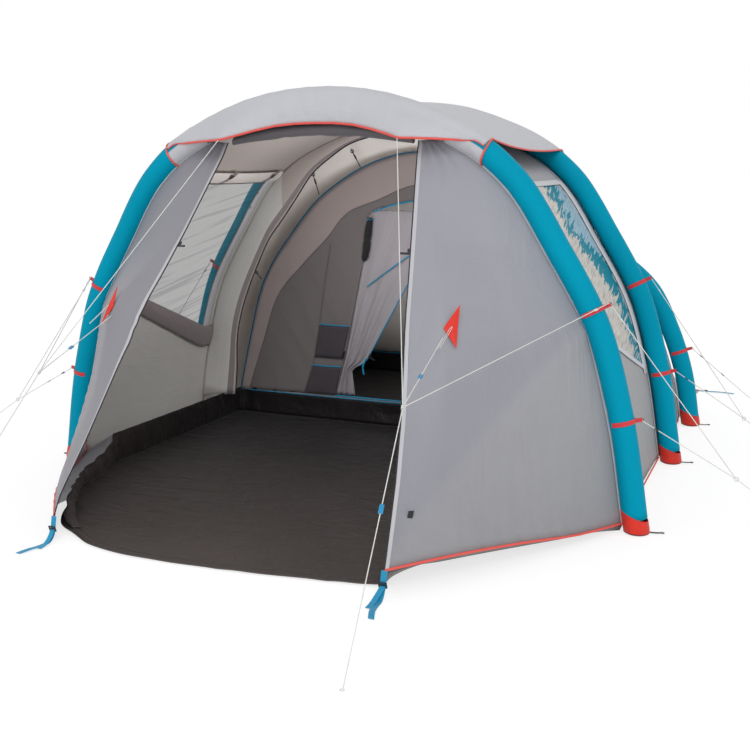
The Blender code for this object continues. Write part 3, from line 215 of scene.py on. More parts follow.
def feed(tree, made, inputs):
    """Set a node's inputs: a constant is written in its socket, another node's output is linked to it."""
    for key, value in inputs.items():
        if isinstance(value, bpy.types.NodeSocket):
            tree.links.new(value, made.inputs[key])
        else:
            made.inputs[key].default_value = value


def node(tree, kind, inputs, output=0, **settings):
    """Add a shader node and give one of its outputs."""
    made = tree.nodes.new("ShaderNode" + kind)
    for key, value in settings.items():
        setattr(made, key, value)
    feed(tree, made, inputs)
    return made.outputs[output]


def new_material(name):
    made = bpy.data.materials.new(name)
    made.use_nodes = True
    tree = made.node_tree
    return made, tree, tree.nodes["Principled BSDF"]


def object_coord(tree):
    return node(tree, "TexCoord", {}, "Object")


def maths(tree, operation, a, b=0.0):
    return node(tree, "Math", {0: a, 1: b}, operation=operation)


def ramp(tree, source, low, high, dark, light):
    """Map a value from low..high onto dark..light."""
    ends = {"From Min": low, "From Max": high, "To Min": dark, "To Max": light}
    return node(tree, "MapRange", {"Value": source, **ends}, "Result")


def mix(tree, share, a, b, blend_type="MIX"):
    inputs = {"Factor": share, "A": a, "B": b}
    return node(tree, "Mix", inputs, "Result", data_type="RGBA", blend_type=blend_type)


def noise(tree, coord, scale, detail, rough, distort=0.0, stretch=None):
    if stretch:
        coord = node(tree, "Mapping", {"Scale": stretch, "Vector": coord}, "Vector")
    inputs = {"Scale": scale, "Detail": detail, "Roughness": rough, "Distortion": distort, "Vector": coord}
    return node(tree, "TexNoise", inputs, "Fac")


def bump(tree, height, strength, distance, **more):
    inputs = {"Height": height, "Strength": strength, "Distance": distance, **more}
    return node(tree, "Bump", inputs, "Normal")


def weave_height(tree, coord, period):
    """Height of a plain weave seen on a surface turned any way."""
    x, y, z = (node(tree, "TexWave", {"Scale": 0.314 / period, "Distortion": 0.0, "Vector": coord}, "Fac",
                    wave_type="BANDS", bands_direction=axis) for axis in "XYZ")
    return maths(tree, "ADD", maths(tree, "ADD", x, y), z)


def fabric(name, colour, rough=0.60, weave=0.0022, depth=0.22, crease=0.22, scale=3.0, vary=0.05, sheen=0.10,
           stain=0.0, specular=0.35, stretch=None, painted_shade=None, painted_low_shade=0.0):
    """Woven cloth: threads, soft creases, uneven dye, soil near the ground, painted shading below and past a
    plane.
    """
    made, tree, shader = new_material(name)
    coord = object_coord(tree)
    height = node(tree, "SeparateXYZ", {0: coord}, "Z")
    large = noise(tree, coord, 1.7, 4.0, 0.55)
    fine = noise(tree, coord, 260.0, 2.0, 0.6)
    threads = weave_height(tree, coord, weave)
    light = maths(tree, "ADD", ramp(tree, large, 0.3, 0.7, 1.0 - vary, 1.0 + vary * 0.6),
                  ramp(tree, fine, 0.3, 0.7, -vary * 0.35, vary * 0.35))
    light = maths(tree, "ADD", light, ramp(tree, threads, 0.0, 3.0, -0.05, 0.05))
    # Painted shading: the cloth is made darker towards the bottom, where less light falls
    if painted_low_shade:
        light = maths(tree, "SUBTRACT", light, ramp(tree, height, 0.05, 0.95, painted_low_shade, 0.0))
    if stain:
        spots = ramp(tree, noise(tree, coord, 14.0, 5.0, 0.65), 0.35, 0.75, 0.0, 1.0)
        low_spots = maths(tree, "MULTIPLY", ramp(tree, height, 0.0, 0.35, 1.0, 0.0), spots)
        light = maths(tree, "SUBTRACT", light, maths(tree, "MULTIPLY", low_spots, stain))
    base = lin(colour)
    # Painted shading: a darker colour past a plane, for the shaded side of a fold or the floor deeper inside
    if painted_shade:
        way, level, width, other = painted_shade
        reach = node(tree, "VectorMath", {0: coord, 1: way}, "Value", operation="DOT_PRODUCT")
        past = maths(tree, "ADD", reach, ramp(tree, large, 0.3, 0.7, -0.012, 0.012))
        base = mix(tree, ramp(tree, past, level - width * 0.3, level + width, 0.0, 1.0), base, lin(other))
    creases = bump(tree, noise(tree, coord, scale, 4.0, 0.55, 0.8, stretch), crease, 0.03)
    feed(tree, shader, {
        "Base Color": mix(tree, 1.0, base, light, "MULTIPLY"),
        "Roughness": ramp(tree, large, 0.3, 0.7, rough - 0.06, rough + 0.08),
        "Sheen Weight": sheen, "Specular IOR Level": specular,
        "Normal": bump(tree, threads, depth, 0.0004, Normal=creases)})
    return made


def trim_fabric(name, colour, rough=0.50, depth=0.4, vary=0.06, sheen=0.10):
    """Narrow woven trim, too small for creases of its own."""
    return fabric(name, colour, rough, 0.0022, depth, 0.05, 20.0, vary, sheen)


def inner_fabric(name, colour, rough, crease, scale=6.0, vary=0.06, sheen=0.12):
    """Soft cloth of the inner walls and flaps."""
    return fabric(name, colour, rough, 0.0024, 0.25, crease, scale, vary, sheen)


def thread(name, colour, vary):
    """Sewn seam."""
    return fabric(name, colour, 0.7, 0.0015, 0.8, 0.05, 30.0, vary, 0.05)


def webbing(name, colour):
    """Flat woven webbing with a close rib."""
    return fabric(name, colour, 0.55, 0.0035, 0.8, 0.08, 20.0, 0.12, 0.2)


def plastic(name, colour, rough=0.35):
    """Moulded plastic with a fine grain and worn gloss."""
    made, tree, shader = new_material(name)
    coord = object_coord(tree)
    wear = noise(tree, coord, 60.0, 4.0, 0.6)
    feed(tree, shader, {
        "Base Color": mix(tree, 1.0, lin(colour), ramp(tree, wear, 0.3, 0.7, 0.88, 1.08), "MULTIPLY"),
        "Roughness": ramp(tree, wear, 0.3, 0.7, rough - 0.08, rough + 0.12),
        "Normal": bump(tree, noise(tree, coord, 900.0, 2.0, 0.5), 0.2, 0.0003)})
    return made


def leaning(tree, slant):
    """Coordinates along a side wall that slant upward along it, with the plain Y and Z."""
    coord = object_coord(tree)
    y, z = (node(tree, "SeparateXYZ", {0: coord}, axis) for axis in "YZ")
    slanted = maths(tree, "SUBTRACT", z, maths(tree, "MULTIPLY", y, slant))
    return node(tree, "CombineXYZ", {"Y": y, "Z": slanted}, "Vector"), y, z


def finish_film(tree, shader, colour, waves, alpha, rough, ripple, specular):
    feed(tree, shader, {"Base Color": colour, "Roughness": rough, "IOR": 1.45, "Specular IOR Level": specular,
                        "Alpha": alpha, "Normal": bump(tree, waves, ripple, 0.02)})


def film(name, colour, dark, alpha, rough, ripple, stretch):
    """Clear window film: slack wrinkles with painted shading in darker lines, and a soft gloss."""
    made, tree, shader = new_material(name)
    waves = noise(tree, leaning(tree, 0.20)[0], 1.0, 2.0, 0.5, 0.3, stretch)
    # Painted shading: the wrinkle lines take the darker colour and let less through
    seen = mix(tree, ramp(tree, waves, 0.40, 0.54, 0.0, 1.0), lin(dark), lin(colour))
    finish_film(tree, shader, seen, waves, ramp(tree, waves, 0.38, 0.50, *alpha), rough, ripple, 0.3)
    return made


# Painted reflection in the right window: height of each streak of the beam, then its middle and half width
# along the wall
PAINTED_REFLECTION_STREAKS = ((0.60, 1.02, 0.05), (0.95, 1.02, 0.09), (1.09, 0.95, 0.14), (1.16, 0.87, 0.11),
           (1.25, 0.77, 0.055), (1.33, 0.73, 0.04), (1.41, 0.78, 0.075), (1.51, 0.88, 0.10))


def painted_reflection_film(name, alpha, rough, ripple):
    """Rippled film with a painted reflection: jagged streaks of the beam beside it over a pale painted
    ground.
    """
    made, tree, shader = new_material(name)
    slanted, y, z = leaning(tree, 0.24)
    low, high = PAINTED_REFLECTION_STREAKS[0][0], PAINTED_REFLECTION_STREAKS[-1][0]
    table = tree.nodes.new("ShaderNodeValToRGB")
    stops = table.color_ramp.elements
    while len(stops) < len(PAINTED_REFLECTION_STREAKS):
        stops.new(0.5)
    for stop, (height, middle, half) in zip(stops, PAINTED_REFLECTION_STREAKS):
        stop.position = (height - low) / (high - low)
        stop.color = (middle - SHIFT + 0.5, half, 0.0, 1.0)
    feed(tree, table, {"Fac": ramp(tree, z, low, high, 0.0, 1.0)})
    streak = {"Color": table.outputs["Color"]}
    middle, half = (node(tree, "SeparateColor", streak, part) for part in ("Red", "Green"))
    jag = noise(tree, slanted, 1.0, 2.0, 0.6, 0.2, (1.0, 5.0, 62.0))
    away = maths(tree, "SUBTRACT", maths(tree, "ADD", y, 0.5), middle)
    away = maths(tree, "ADD", away, ramp(tree, jag, 0.30, 0.70, -0.13, 0.13))
    fine = noise(tree, slanted, 1.0, 3.0, 0.6, 0.3, (1.0, 9.0, 120.0))
    # Painted reflection: a cream and a cool ground, and the beam's teal inside each streak
    cream = mix(tree, ramp(tree, fine, 0.35, 0.55, 0.0, 1.0), lin((172, 166, 160)), lin((214, 208, 199)))
    cool = mix(tree, ramp(tree, fine, 0.35, 0.65, 0.0, 1.0), lin((140, 172, 190)), lin((172, 196, 208)))
    ground = mix(tree, maths(tree, "GREATER_THAN", away, 0.0), cream, cool)
    inside = maths(tree, "LESS_THAN", maths(tree, "ABSOLUTE", away), half)
    finish_film(tree, shader, mix(tree, inside, ground, lin((0, 128, 150))), fine, alpha, rough, ripple, 0.10)
    return made


UPRIGHT, LINING = (1.6, 1.6, 0.5), (1.0, 0.6, 2.2)
# Painted shading: the wing's side past its fold and the groundsheet deeper inside the tent take darker
# colours
WING_PAINTED_SHADE = ((-0.550, -0.312, 0.772), 0.302, 0.055, (153, 153, 161))
GROUND_PAINTED_SHADE = ((0.0, 1.0, 0.0), -1.54, 1.19, (20, 16, 16))
# The record's slot and the material of each kind of surface
MATERIALS = {
    "beam": ("beam_fabric", fabric("beam_polyester", (0, 150, 180), 0.50, 0.0024, 0.35, 0.10, 9.0, 0.07,
                                   0.0, specular=0.04)),
    "boot": ("red_fabric", fabric("boot_red", (222, 48, 30), 0.52, 0.0026, 0.35, 0.12, 12.0, 0.08,
                                  stain=0.25)),
    "strap": ("red_webbing", webbing("strap_red_webbing", (214, 52, 58))),
    "roof": ("roof_fabric", fabric("roof_light_grey", (189, 190, 195), crease=0.65)),
    "fly": ("fly_fabric", fabric("fly_grey", (168, 168, 173), scale=3.5, stain=0.10)),
    # The lower fly and the wings are painted darker towards the bottom, as shading
    "fly_light": ("fly_fabric", fabric("fly_pale", (164, 163, 165), scale=3.5, stain=0.08, painted_low_shade=0.16)),
    "wing": ("fly_fabric", fabric("wing_grey", (162, 162, 166), 0.58, crease=0.38, stain=0.06, painted_low_shade=0.21,
                                  stretch=UPRIGHT, painted_shade=WING_PAINTED_SHADE)),
    # The left wing's grey is the wing's own grey darkened, as painted shading
    "wing_painted_shade_left": ("fly_fabric", fabric("wing_grey_painted_shade_left", (139, 138, 145), 0.58, stain=0.06, stretch=UPRIGHT)),
    "wing_in": ("fly_fabric", fabric("wing_inside_grey", (172, 172, 177), 0.62, crease=0.16,
                                     stretch=UPRIGHT)),
    "wing_edge": ("fly_fabric", trim_fabric("wing_edge_grey", (188, 188, 193), 0.60, 0.3, 0.04, 0.08)),
    "pale": ("lining_fabric", fabric("lining_pale", (206, 204, 200), 0.64, depth=0.2, crease=0.30, sheen=0.08,
                                     stretch=LINING)),
    "taupe": ("lining_fabric", fabric("lining_taupe", (186, 176, 172), 0.64, depth=0.2, sheen=0.08,
                                      stretch=(1.0, 0.6, 2.0))),
    "cream": ("lining_fabric", fabric("lining_cream", (254, 248, 243), 0.64, depth=0.2, sheen=0.08)),
    "band": ("inner_fabric", inner_fabric("inner_band_taupe", (158, 146, 144), 0.66, 0.25, 5.0, 0.05)),
    "wall": ("inner_fabric", inner_fabric("inner_wall_grey", (112, 106, 106), 0.68, 0.20, 4.0, sheen=0.14)),
    "door": ("inner_fabric", fabric("inner_door_mauve", (158, 153, 158), 0.56, 0.0024, 0.2, 0.30, 5.0, 0.06,
                                    0.12)),
    "pocket": ("inner_fabric", fabric("pocket_mesh_dark", (70, 65, 70), 0.75, 0.0040, 0.8, 0.15, 7.0, 0.10,
                                      0.15)),
    "flap": ("lining_fabric", inner_fabric("flap_dark_taupe", (142, 132, 134), 0.62, 0.30)),
    "flange": ("lining_fabric", inner_fabric("flange_dark_grey", (112, 104, 106), 0.66, 0.2)),
    # The groundsheet is painted darker towards the back, as shading deeper inside the tent
    "ground": ("ground_fabric", fabric("groundsheet_dark", (62, 54, 51), 0.50, 0.0050, 0.45, 0.75, 5.0, 0.18,
                                       0.05, specular=0.40, stretch=(1.0, 2.4, 1.0), painted_shade=GROUND_PAINTED_SHADE)),
    "ground_edge": ("ground_fabric", fabric("groundsheet_hem", (64, 56, 54), 0.42, 0.0050, 0.45, 0.60, 9.0,
                                            0.22, 0.05, specular=0.5)),
    "piping": ("red_fabric", trim_fabric("piping_coral", (232, 88, 80))),
    "blue": ("blue_webbing", trim_fabric("trim_blue", (22, 138, 180))),
    "blue_dark": ("blue_webbing", trim_fabric("zip_tape_blue", (24, 96, 128), 0.55)),
    "curtain": ("lining_fabric", fabric("curtain_pale", (226, 218, 214), 0.64, depth=0.2, sheen=0.08)),
    # The rolled door's grey is darkened as painted shading under the hood
    "roll": ("fly_fabric", inner_fabric("door_roll_painted_shade", (104, 101, 105), 0.62, 0.30, sheen=0.08)),
    "blue_web": ("blue_webbing", webbing("strap_blue_webbing", (16, 146, 190))),
    "black_web": ("black_plastic", webbing("strap_black_webbing", (34, 33, 34))),
    "tape": ("fly_fabric", trim_fabric("seam_tape_light", (206, 206, 210), 0.5, 0.3, 0.04, 0.08)),
    "seam": ("fly_fabric", thread("seam_thread_dark", (104, 100, 102), 0.10)),
    "seam_grey": ("fly_fabric", thread("seam_thread_grey", (150, 149, 154), 0.08)),
    "zip": ("black_plastic", fabric("zip_coil_black", (30, 29, 31), 0.45, 0.0020, 0.9, 0.05, 30.0, 0.15, 0.05,
                                    specular=0.5)),
    "cord": ("cord", fabric("cord_braid_white", (236, 236, 232), 0.55, 0.0016, 0.9, 0.0, 30.0, 0.06)),
    # The left film's darker wrinkle lines are painted shading; the right film shows a painted reflection
    "film_left": ("clear_film", film("window_film", (58, 62, 51), (26, 28, 24), (0.68, 0.60), 0.22, 0.25,
                                     (1.0, 1.3, 42.0))),
    "film_right": ("clear_film", painted_reflection_film("window_film_painted_reflection", 0.97, 0.34, 0.12)),
    "red_plastic": ("red_plastic", plastic("valve_red_plastic", (204, 40, 44))),
    "black_plastic": ("black_plastic", plastic("buckle_black_plastic", (26, 26, 28))),
    "blue_plastic": ("blue_plastic", plastic("tensioner_blue_plastic", (20, 138, 186), 0.3)),
    "white_plastic": ("cord", plastic("ring_white_plastic", (226, 226, 222))),
}


# Making pieces

def row_frame(p):
    """A place in the row's frame from one measured along the tent."""
    return (float(p[0]), float(p[1]) - SHIFT, float(p[2]))


def add_object(name, data):
    obj = bpy.data.objects.new(name, data)
    bpy.context.scene.collection.objects.link(obj)
    return obj


def piece(name, data, mats, replaces=()):
    """Object that is part of the tent's body, with its materials."""
    for key in mats:
        data.materials.append(MATERIALS[key][1])
    obj = add_object(name, data)
    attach(obj, "tent")
    if replaces:
        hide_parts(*replaces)
    return obj


def mesh_piece(name, verts, faces, mats, face_mats=None, smooth=True, replaces=()):
    mesh = bpy.data.meshes.new(name)
    mesh.from_pydata((np.reshape(verts, (-1, 3)) - (0.0, SHIFT, 0.0)).tolist(), [], faces)
    obj = piece(name, mesh, mats, replaces)
    if face_mats is not None:
        mesh.polygons.foreach_set("material_index", array(face_mats, np.int32))
    if smooth:
        mesh.shade_smooth()
    mesh.update()
    return obj


def grid_faces(rows, cols, wrap=False, keep=None, flip=False):
    faces, cells = [], []
    for r in range(rows - 1):
        for c in range(cols if wrap else cols - 1):
            if keep is None or keep[r, c]:
                d = (c + 1) % cols
                face = (r * cols + c, r * cols + d, (r + 1) * cols + d, (r + 1) * cols + c)
                faces.append(face[::-1] if flip else face)
                cells.append((r, c))
    return faces, cells


def flat_size(grid, cells, wrap):
    """Size of the flat piece that a grid would be sewn from, and the area of its cells."""
    least_area_share = 0.301
    cols = grid.shape[1]
    area = 0.0
    for r, c in cells:
        d = (c + 1) % cols
        area += 0.5 * float(norm(np.cross(grid[r + 1, d] - grid[r, c], grid[r + 1, c] - grid[r, d])))
    wide = max(path_length(row) for row in grid)
    if wrap:
        wide += float(norm(grid[0, 0] - grid[0, -1]))
    flat = (round(wide, 3), round(max(path_length(grid[:, c]) for c in range(cols)), 3))
    whole = flat[0] * flat[1]
    return flat, max(min(round(area, 3), whole), least_area_share * whole)


def cloth(name, grid, mats, outward, thick=0.0012, keep=None, cell_mat=None, inner=(), replaces=(), flat=None,
          area=None, wrap=False, offset=-1.0, declare=True):
    """Sheet of cloth on a grid of places; its outer side looks at a point, or away from a tube's middle."""
    towards = grid - grid.mean(axis=1, keepdims=True) if wrap else np.asarray(outward, float) - grid
    turned = float((grid_normals(grid) * towards).sum(-1).mean()) > 0.0
    faces, cells = grid_faces(*grid.shape[:2], wrap, keep, turned)
    index = None if cell_mat is None else [int(cell_mat[cell]) for cell in cells]
    obj = mesh_piece(name, grid, faces, [*mats, *inner], index, replaces=replaces)
    if thick:
        mod = obj.modifiers.new("thickness", "SOLIDIFY")
        mod.thickness = thick
        mod.offset = offset
        if inner:
            mod.material_offset = len(mats)
    if declare:
        if flat is None:
            flat, area = flat_size(grid, cells, wrap)
    return obj


def line_piece(name, points, radius, mat, replaces=(), closed=False):
    """Round trim along a path: piping, a cord sewn in, a ring."""
    curve = bpy.data.curves.new(name, "CURVE")
    curve.dimensions = "3D"
    curve.bevel_depth = radius
    curve.bevel_resolution = 2
    curve.use_fill_caps = True
    strand = curve.splines.new("POLY")
    strand.points.add(len(points) - 1)
    for place, point in zip(strand.points, points):
        place.co = (*row_frame(point), 1.0)
    strand.use_cyclic_u = closed
    strand.use_smooth = True
    return piece(name, curve, [mat], replaces)


def capped_tube(name, rings, mat, flip=False):
    """Tube of rings with a face on each end; flip is for rings that turn the other way, with smooth sides."""
    count = rings.shape[1]
    faces, _ = grid_faces(len(rings), count, wrap=True, flip=flip)
    faces.append(tuple(range(count)))
    faces.append(tuple((len(rings) - 1) * count + k for k in range(count))[::-1])
    return mesh_piece(name, rings, faces, [mat], smooth=flip)


def ribbon(name, path, across, width, mat, thick=0.0008, replaces=()):
    """Flat tape along a path; across gives the way of its width at each point."""
    path = np.asarray(path, float)
    across = unit(np.broadcast_to(np.asarray(across, float), path.shape))
    up = unit(np.cross(np.gradient(path, axis=0), across))
    half = across * (width / 2.0)
    rim = up * (thick / 2.0)
    crown = up * thick * 0.35
    obj = capped_tube(name, stack([path - half - rim, path - crown * 0.5 - rim * 1.2, path + half - rim,
                                   path + half + rim, path + crown + rim, path - half + rim], axis=1), mat)
    if replaces:
        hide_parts(*replaces)
    return obj


def rounded_box(name, centre, axes, sizes, mat, bevel, holes=()):
    """Small moulded piece: a bevelled block with slots cut through its thickness."""
    bm = bmesh.new()
    axes = [Vector(a).normalized() for a in axes]
    middle = Vector(row_frame(centre))
    xs, ys = (sorted({-sizes[k] / 2, sizes[k] / 2, *(edge for h in holes for edge in h[2 * k:2 * k + 2])})
              for k in (0, 1))
    corner = {(i, j, k): bm.verts.new(middle + axes[0] * a + axes[1] * b + axes[2] * c)
              for k, c in enumerate((-sizes[2] / 2, sizes[2] / 2))
              for i, a in enumerate(xs) for j, b in enumerate(ys)}

    def full_cell(i, j):
        if not (0 <= i < len(xs) - 1 and 0 <= j < len(ys) - 1):
            return False
        a, b = (xs[i] + xs[i + 1]) / 2, (ys[j] + ys[j + 1]) / 2
        return not any(h[0] < a < h[1] and h[2] < b < h[3] for h in holes)

    for i in range(len(xs) - 1):
        for j in range(len(ys) - 1):
            if not full_cell(i, j):
                continue
            around = [(i, j), (i + 1, j), (i + 1, j + 1), (i, j + 1)]
            bm.faces.new([corner[(*at, 0)] for at in around[::-1]])
            bm.faces.new([corner[(*at, 1)] for at in around])
            for k, (di, dj) in enumerate(((0, -1), (1, 0), (0, 1), (-1, 0))):
                if not full_cell(i + di, j + dj):
                    a, b = around[k], around[(k + 1) % 4]
                    bm.faces.new([corner[(*a, 0)], corner[(*b, 0)], corner[(*b, 1)], corner[(*a, 1)]])
    bmesh.ops.recalc_face_normals(bm, faces=bm.faces)
    mesh = bpy.data.meshes.new(name)
    bm.to_mesh(mesh)
    bm.free()
    obj = piece(name, mesh, [mat])
    mod = obj.modifiers.new("edges", "BEVEL")
    mod.width = bevel
    mod.segments = 2
    mod.limit_method = "ANGLE"
    return obj


# Camera

camera_data = bpy.data.cameras.new("camera")
camera_data.lens = 48.42
camera_data.sensor_width = 36.0
camera_data.clip_end = 200.0
camera = add_object("camera", camera_data)
camera.location = row_frame((2.143, -4.379, 1.580))
camera.rotation_euler = (radians(78.55), 0.0, radians(23.07))
bpy.context.scene.camera = camera


# Guy lines

KNOT, FOOT = (0.835, -1.05, 0.735), (0.925, -1.772, 0.006)
HOOD_LINE = (0.4548, -0.1699, 1.7210)
PATCH_LINE = (0.8149, -0.5171, 0.9349)
STRAP_LINE = (1.3773, -0.0040, 1.0202)
PATCH = array((0.8148, -0.5143, 0.9359))
# Beam, then the set's ring and the outer ends of its upper, lower and ground line
SIDE_SETS = (("front", (1.944, 0.0, 0.297), (1.3775, 0.004, 1.0203), (1.5403, 0.0, 0.5141),
              (2.387, 0.0, 0.006)),
             ("middle", (1.906, 1.20, 0.284), (1.3775, 1.204, 1.0203), (1.5404, 1.20, 0.5141),
              (2.315, 1.20, 0.006)))
REAR_START, REAR_FOOT = (1.5269, 2.12, 0.4935), (2.14, 2.12, 0.006)
# Length, width and thickness of the line tensioners
SMALL_LOCK, PATCH_LOCK, STRAP_LOCK = (0.020, 0.011, 0.005), (0.026, 0.015, 0.006), (0.022, 0.013, 0.006)
SIDE_SLIDE, REAR_SLIDE = (0.022, 0.012, 0.005), (0.024, 0.012, 0.005)


def between(a, b, share):
    return a + (b - a) * share


def across_pair(along, helper):
    """Two directions square to a given one and to each other."""
    side = unit(np.cross(along, helper))
    return side, np.cross(along, side)


def ring_piece(name, centre, normal, radius, thick, mat):
    """Moulded ring or sewn loop."""
    side, other = across_pair(unit(np.asarray(normal, float)), (0.2, 0.9, 0.3))
    turn = ring_angles(24)
    pts = np.asarray(centre) + radius * (np.outer(cos(turn), side) + np.outer(sin(turn), other))
    return line_piece(name, pts, thick, mat, closed=True)


def knot_piece(name, centre, way):
    """Overhand knot: turns of the line about itself."""
    size, turns = 0.0065, 2.6
    along = unit(way)
    side, other = across_pair(along, (0.3, 0.2, 0.9))
    t = linspace(0, 1, 46)
    turn = 2 * pi * turns * t
    pts = (centre + np.outer(cos(turn) * size * 0.75, side) + np.outer(sin(turn) * size * 0.75, other)
           + np.outer((t - 0.5) * size * 2.2, along))
    return line_piece(name, pts, 0.0021, "cord")


def tensioner(name, start, end, share, mat, sizes):
    """Line tensioner with three holes, at a share of the line between two places."""
    along = Vector(end - start).normalized()
    wide = along.cross(Vector((0.1, 0.2, 1.0))).normalized()
    s, w = sizes[0] / 2, sizes[1] * 0.24
    holes = [(s * low, s * high, -w, w) for low, high in ((-0.72, -0.42), (-0.15, 0.15), (0.42, 0.72))]
    axes = (along, wide, along.cross(wide))
    return rounded_box(name, between(start, end, share), axes, sizes, mat, 0.0012, holes)


def guy(name, start, end, replaced):
    """One taut guy line between two places."""
    pts = [start + (end - start) * i / 17 for i in range(18)]
    obj = line_piece(name, pts, GUY_D / 2, "cord", replaces=(replaced,))
    float(norm(end - start))


def ground_loop(name, end, side):
    return ring_piece(name, end + (0.006 * side, 0, 0), (0.05, 0, 1), 0.006, 0.0016, "cord")


for side, word in SIDES:
    knot, foot, hood, patch, strap = (mirror(p, side)
                                      for p in (KNOT, FOOT, HOOD_LINE, PATCH_LINE, STRAP_LINE))
    replaced = f"front_guy_lines_{word}"
    tied = knot_piece(f"front_guy_knot_{word}", knot, foot - knot)
    guy(f"guy_hood_{word}", hood, knot, replaced)
    lock = tensioner(f"guy_patch_tensioner_{word}", patch, knot, 0.62, "blue_plastic", PATCH_LOCK)
    guy(f"guy_patch_{word}", patch, knot, replaced)
    lock = tensioner(f"guy_strap_tensioner_{word}", strap, knot, 0.075, "white_plastic", STRAP_LOCK)
    guy(f"guy_strap_{word}", strap, knot, replaced)
    end = foot + unit(foot - knot) * 0.004 + (0, -0.006, 0.001)
    loop = ring_piece(f"front_guy_loop_{word}", end, (0, 0.05, 1), 0.007, 0.0016, "cord")
    guy(f"guy_ground_{word}", knot, foot, replaced)
    for beam, *places in SIDE_SETS:
        replaced = f"{beam}_side_guy_lines_{word}"
        ring, upper, lower, ground = (mirror(p, side) for p in places)
        loop = ring_piece(f"{beam}_side_ring_{word}", ring, (0, 1, 0), 0.009, 0.0024, "white_plastic")
        lock = tensioner(f"{beam}_upper_line_lock_{word}", upper, ring, 0.10, "white_plastic", SMALL_LOCK)
        guy(f"{beam}_side_upper_line_{word}", upper, ring, replaced)
        lock = tensioner(f"{beam}_lower_line_lock_{word}", lower, ring, 0.16, "black_plastic", SMALL_LOCK)
        slide = tensioner(f"{beam}_lower_line_slide_{word}", lower, ring, 0.42, "white_plastic", SIDE_SLIDE)
        guy(f"{beam}_side_lower_line_{word}", lower, ring, replaced)
        peg = ground_loop(f"{beam}_side_loop_{word}", ground, side)
        guy(f"{beam}_side_ground_line_{word}", ring, ground, replaced)
    start, end = mirror(REAR_START, side), mirror(REAR_FOOT, side)
    lock = tensioner(f"rear_line_lock_{word}", start, end, 0.10, "black_plastic", SMALL_LOCK)
    slide = tensioner(f"rear_line_slide_{word}", start, end, 0.32, "black_plastic", REAR_SLIDE)
    peg = ground_loop(f"rear_side_loop_{word}", end, side)
    guy(f"rear_side_line_{word}", start, end, f"rear_side_guy_line_{word}")


# Air beams

def beam_sleeve(name, points, y):
    """Inflated sleeve with small gathers where the tube bends."""
    u = linspace(0.12, 15.88, 260)
    turn = ring_angles(36)
    centre = arch(points, u)
    out = (arch(points, u, 1.0) - centre)[:, None]

    def tube(radius):
        x, z = (centre[:, None, k] + out[..., k] * cos(turn) * radius for k in (0, 1))
        return stack([x, y + sin(turn) * np.broadcast_to(radius, x.shape), z], -1)

    gap = np.abs(u[:, None] - np.arange(1, 16)).min(1)
    gather = bell(gap, 0.16)[:, None] * (0.5 - 0.5 * cos(turn)) ** 2
    ripple = cos(2 * pi * u[:, None] * 14.0 + 2.0 * sin(turn))
    grid = tube(R + 0.0012 * gather * ripple + 0.0007 * wobble(tube(R), 9.0, 3))
    cloth(f"{name}_sleeve_cloth", grid, ["beam"], None, thick=0.0010, wrap=True,
          replaces=(f"{name}_beam_sleeve", f"{name}_beam_bladder"),
          flat=(BEAM_LENGTH_ROUND, round(path_length(centre), 3)))


def boot_grid(points, y):
    """Red cup of a left leg, from the ground to the sloping seam."""
    line = arch(points, linspace(0.0, 0.6, 200))
    turn = ring_angles(32)
    t = linspace(0, 1, 18)[:, None]
    h = 0.001 + (0.082 - 0.41 * R * cos(turn) - 0.001) * t
    swell = (R + 0.0022 - 0.010 * np.maximum(0, 1 - h / 0.012) ** 2 + 0.0014 * sin(pi * t)
             - 0.0012 * bell(1 - t, 0.06))
    return stack([interp(h, line[:, 1], line[:, 0]) - cos(turn) * swell, y + sin(turn) * swell, h], -1)


def boot(name, points, y, side, word):
    grid = mirror(boot_grid(points, y), -side)
    centre = grid[0].mean(0)
    sole = array([centre + (grid[0] - centre) * share for share in (0.02, 0.55)])
    sole[..., 2] = 0.0008
    cloth(f"{name}_boot_cloth_{word}", np.concatenate([sole, grid]), ["boot"], None, wrap=True,
          replaces=(f"{name}_foot_boot_{word}",), flat=(0.362, 0.170), area=0.048)
    rim = smooth_path(np.concatenate([grid[-1], grid[-1][:1]]), 2)[:-1]
    line_piece(f"{name}_boot_rim_{word}", rim, 0.0022, "boot", closed=True)
    line_piece(f"{name}_boot_stitch_{word}", grid[-3], 0.0009, "strap", closed=True)
    line_piece(f"{name}_boot_sole_{word}", grid[1] + (0, 0, 0.002), 0.0030, "zip", closed=True)


def strap_ring(name, points, y, height, side, word):
    """Webbing sewn round a leg with its pull tab, a bar tack and the line's loop."""
    us = linspace(0.01, 7.0, 700)
    u = float(interp(height, arch(points, us)[:, 1], us))
    centre = arch(points, u)
    up = unit(arch(points, u + 0.05) - centre)
    left = ((centre[0], y, centre[1]), (up[0], 0, up[1]), (-up[1], 0, up[0]))
    c, up, out = (mirror(p, -side) for p in left)
    turn = linspace(-0.72 * pi, 0.5 * pi, 29)
    r = R + 0.0026
    path = c + r * (np.outer(cos(turn), out) + np.outer(sin(turn), (0, 1, 0)))
    ribbon(f"{name}_band_{word}", path, up, 0.020, "strap", 0.0014, (f"{name}_{word}",))
    for k, shift in enumerate((-0.0042, 0.0042)):
        tab = [c + out * (r + reach) + (0, shift * share, 0)
               for reach, share in ((-0.001, 1.0), (0.012, 0.5), (0.0305, 0.25))]
        ribbon(f"{name}_tab{k}_{word}", smooth_path(tab, 5), up, 0.018, "strap", 0.0012)
    rounded_box(f"{name}_tack_{word}", c + out * (r + 0.010), (out, (0, 1, 0), up), (0.003, 0.0075, 0.019),
                "seam", 0.0005)
    ring_piece(f"{name}_eye_{word}", c + out * (r + 0.031), (0, 1, 0), 0.0055, 0.0014, "black_plastic")


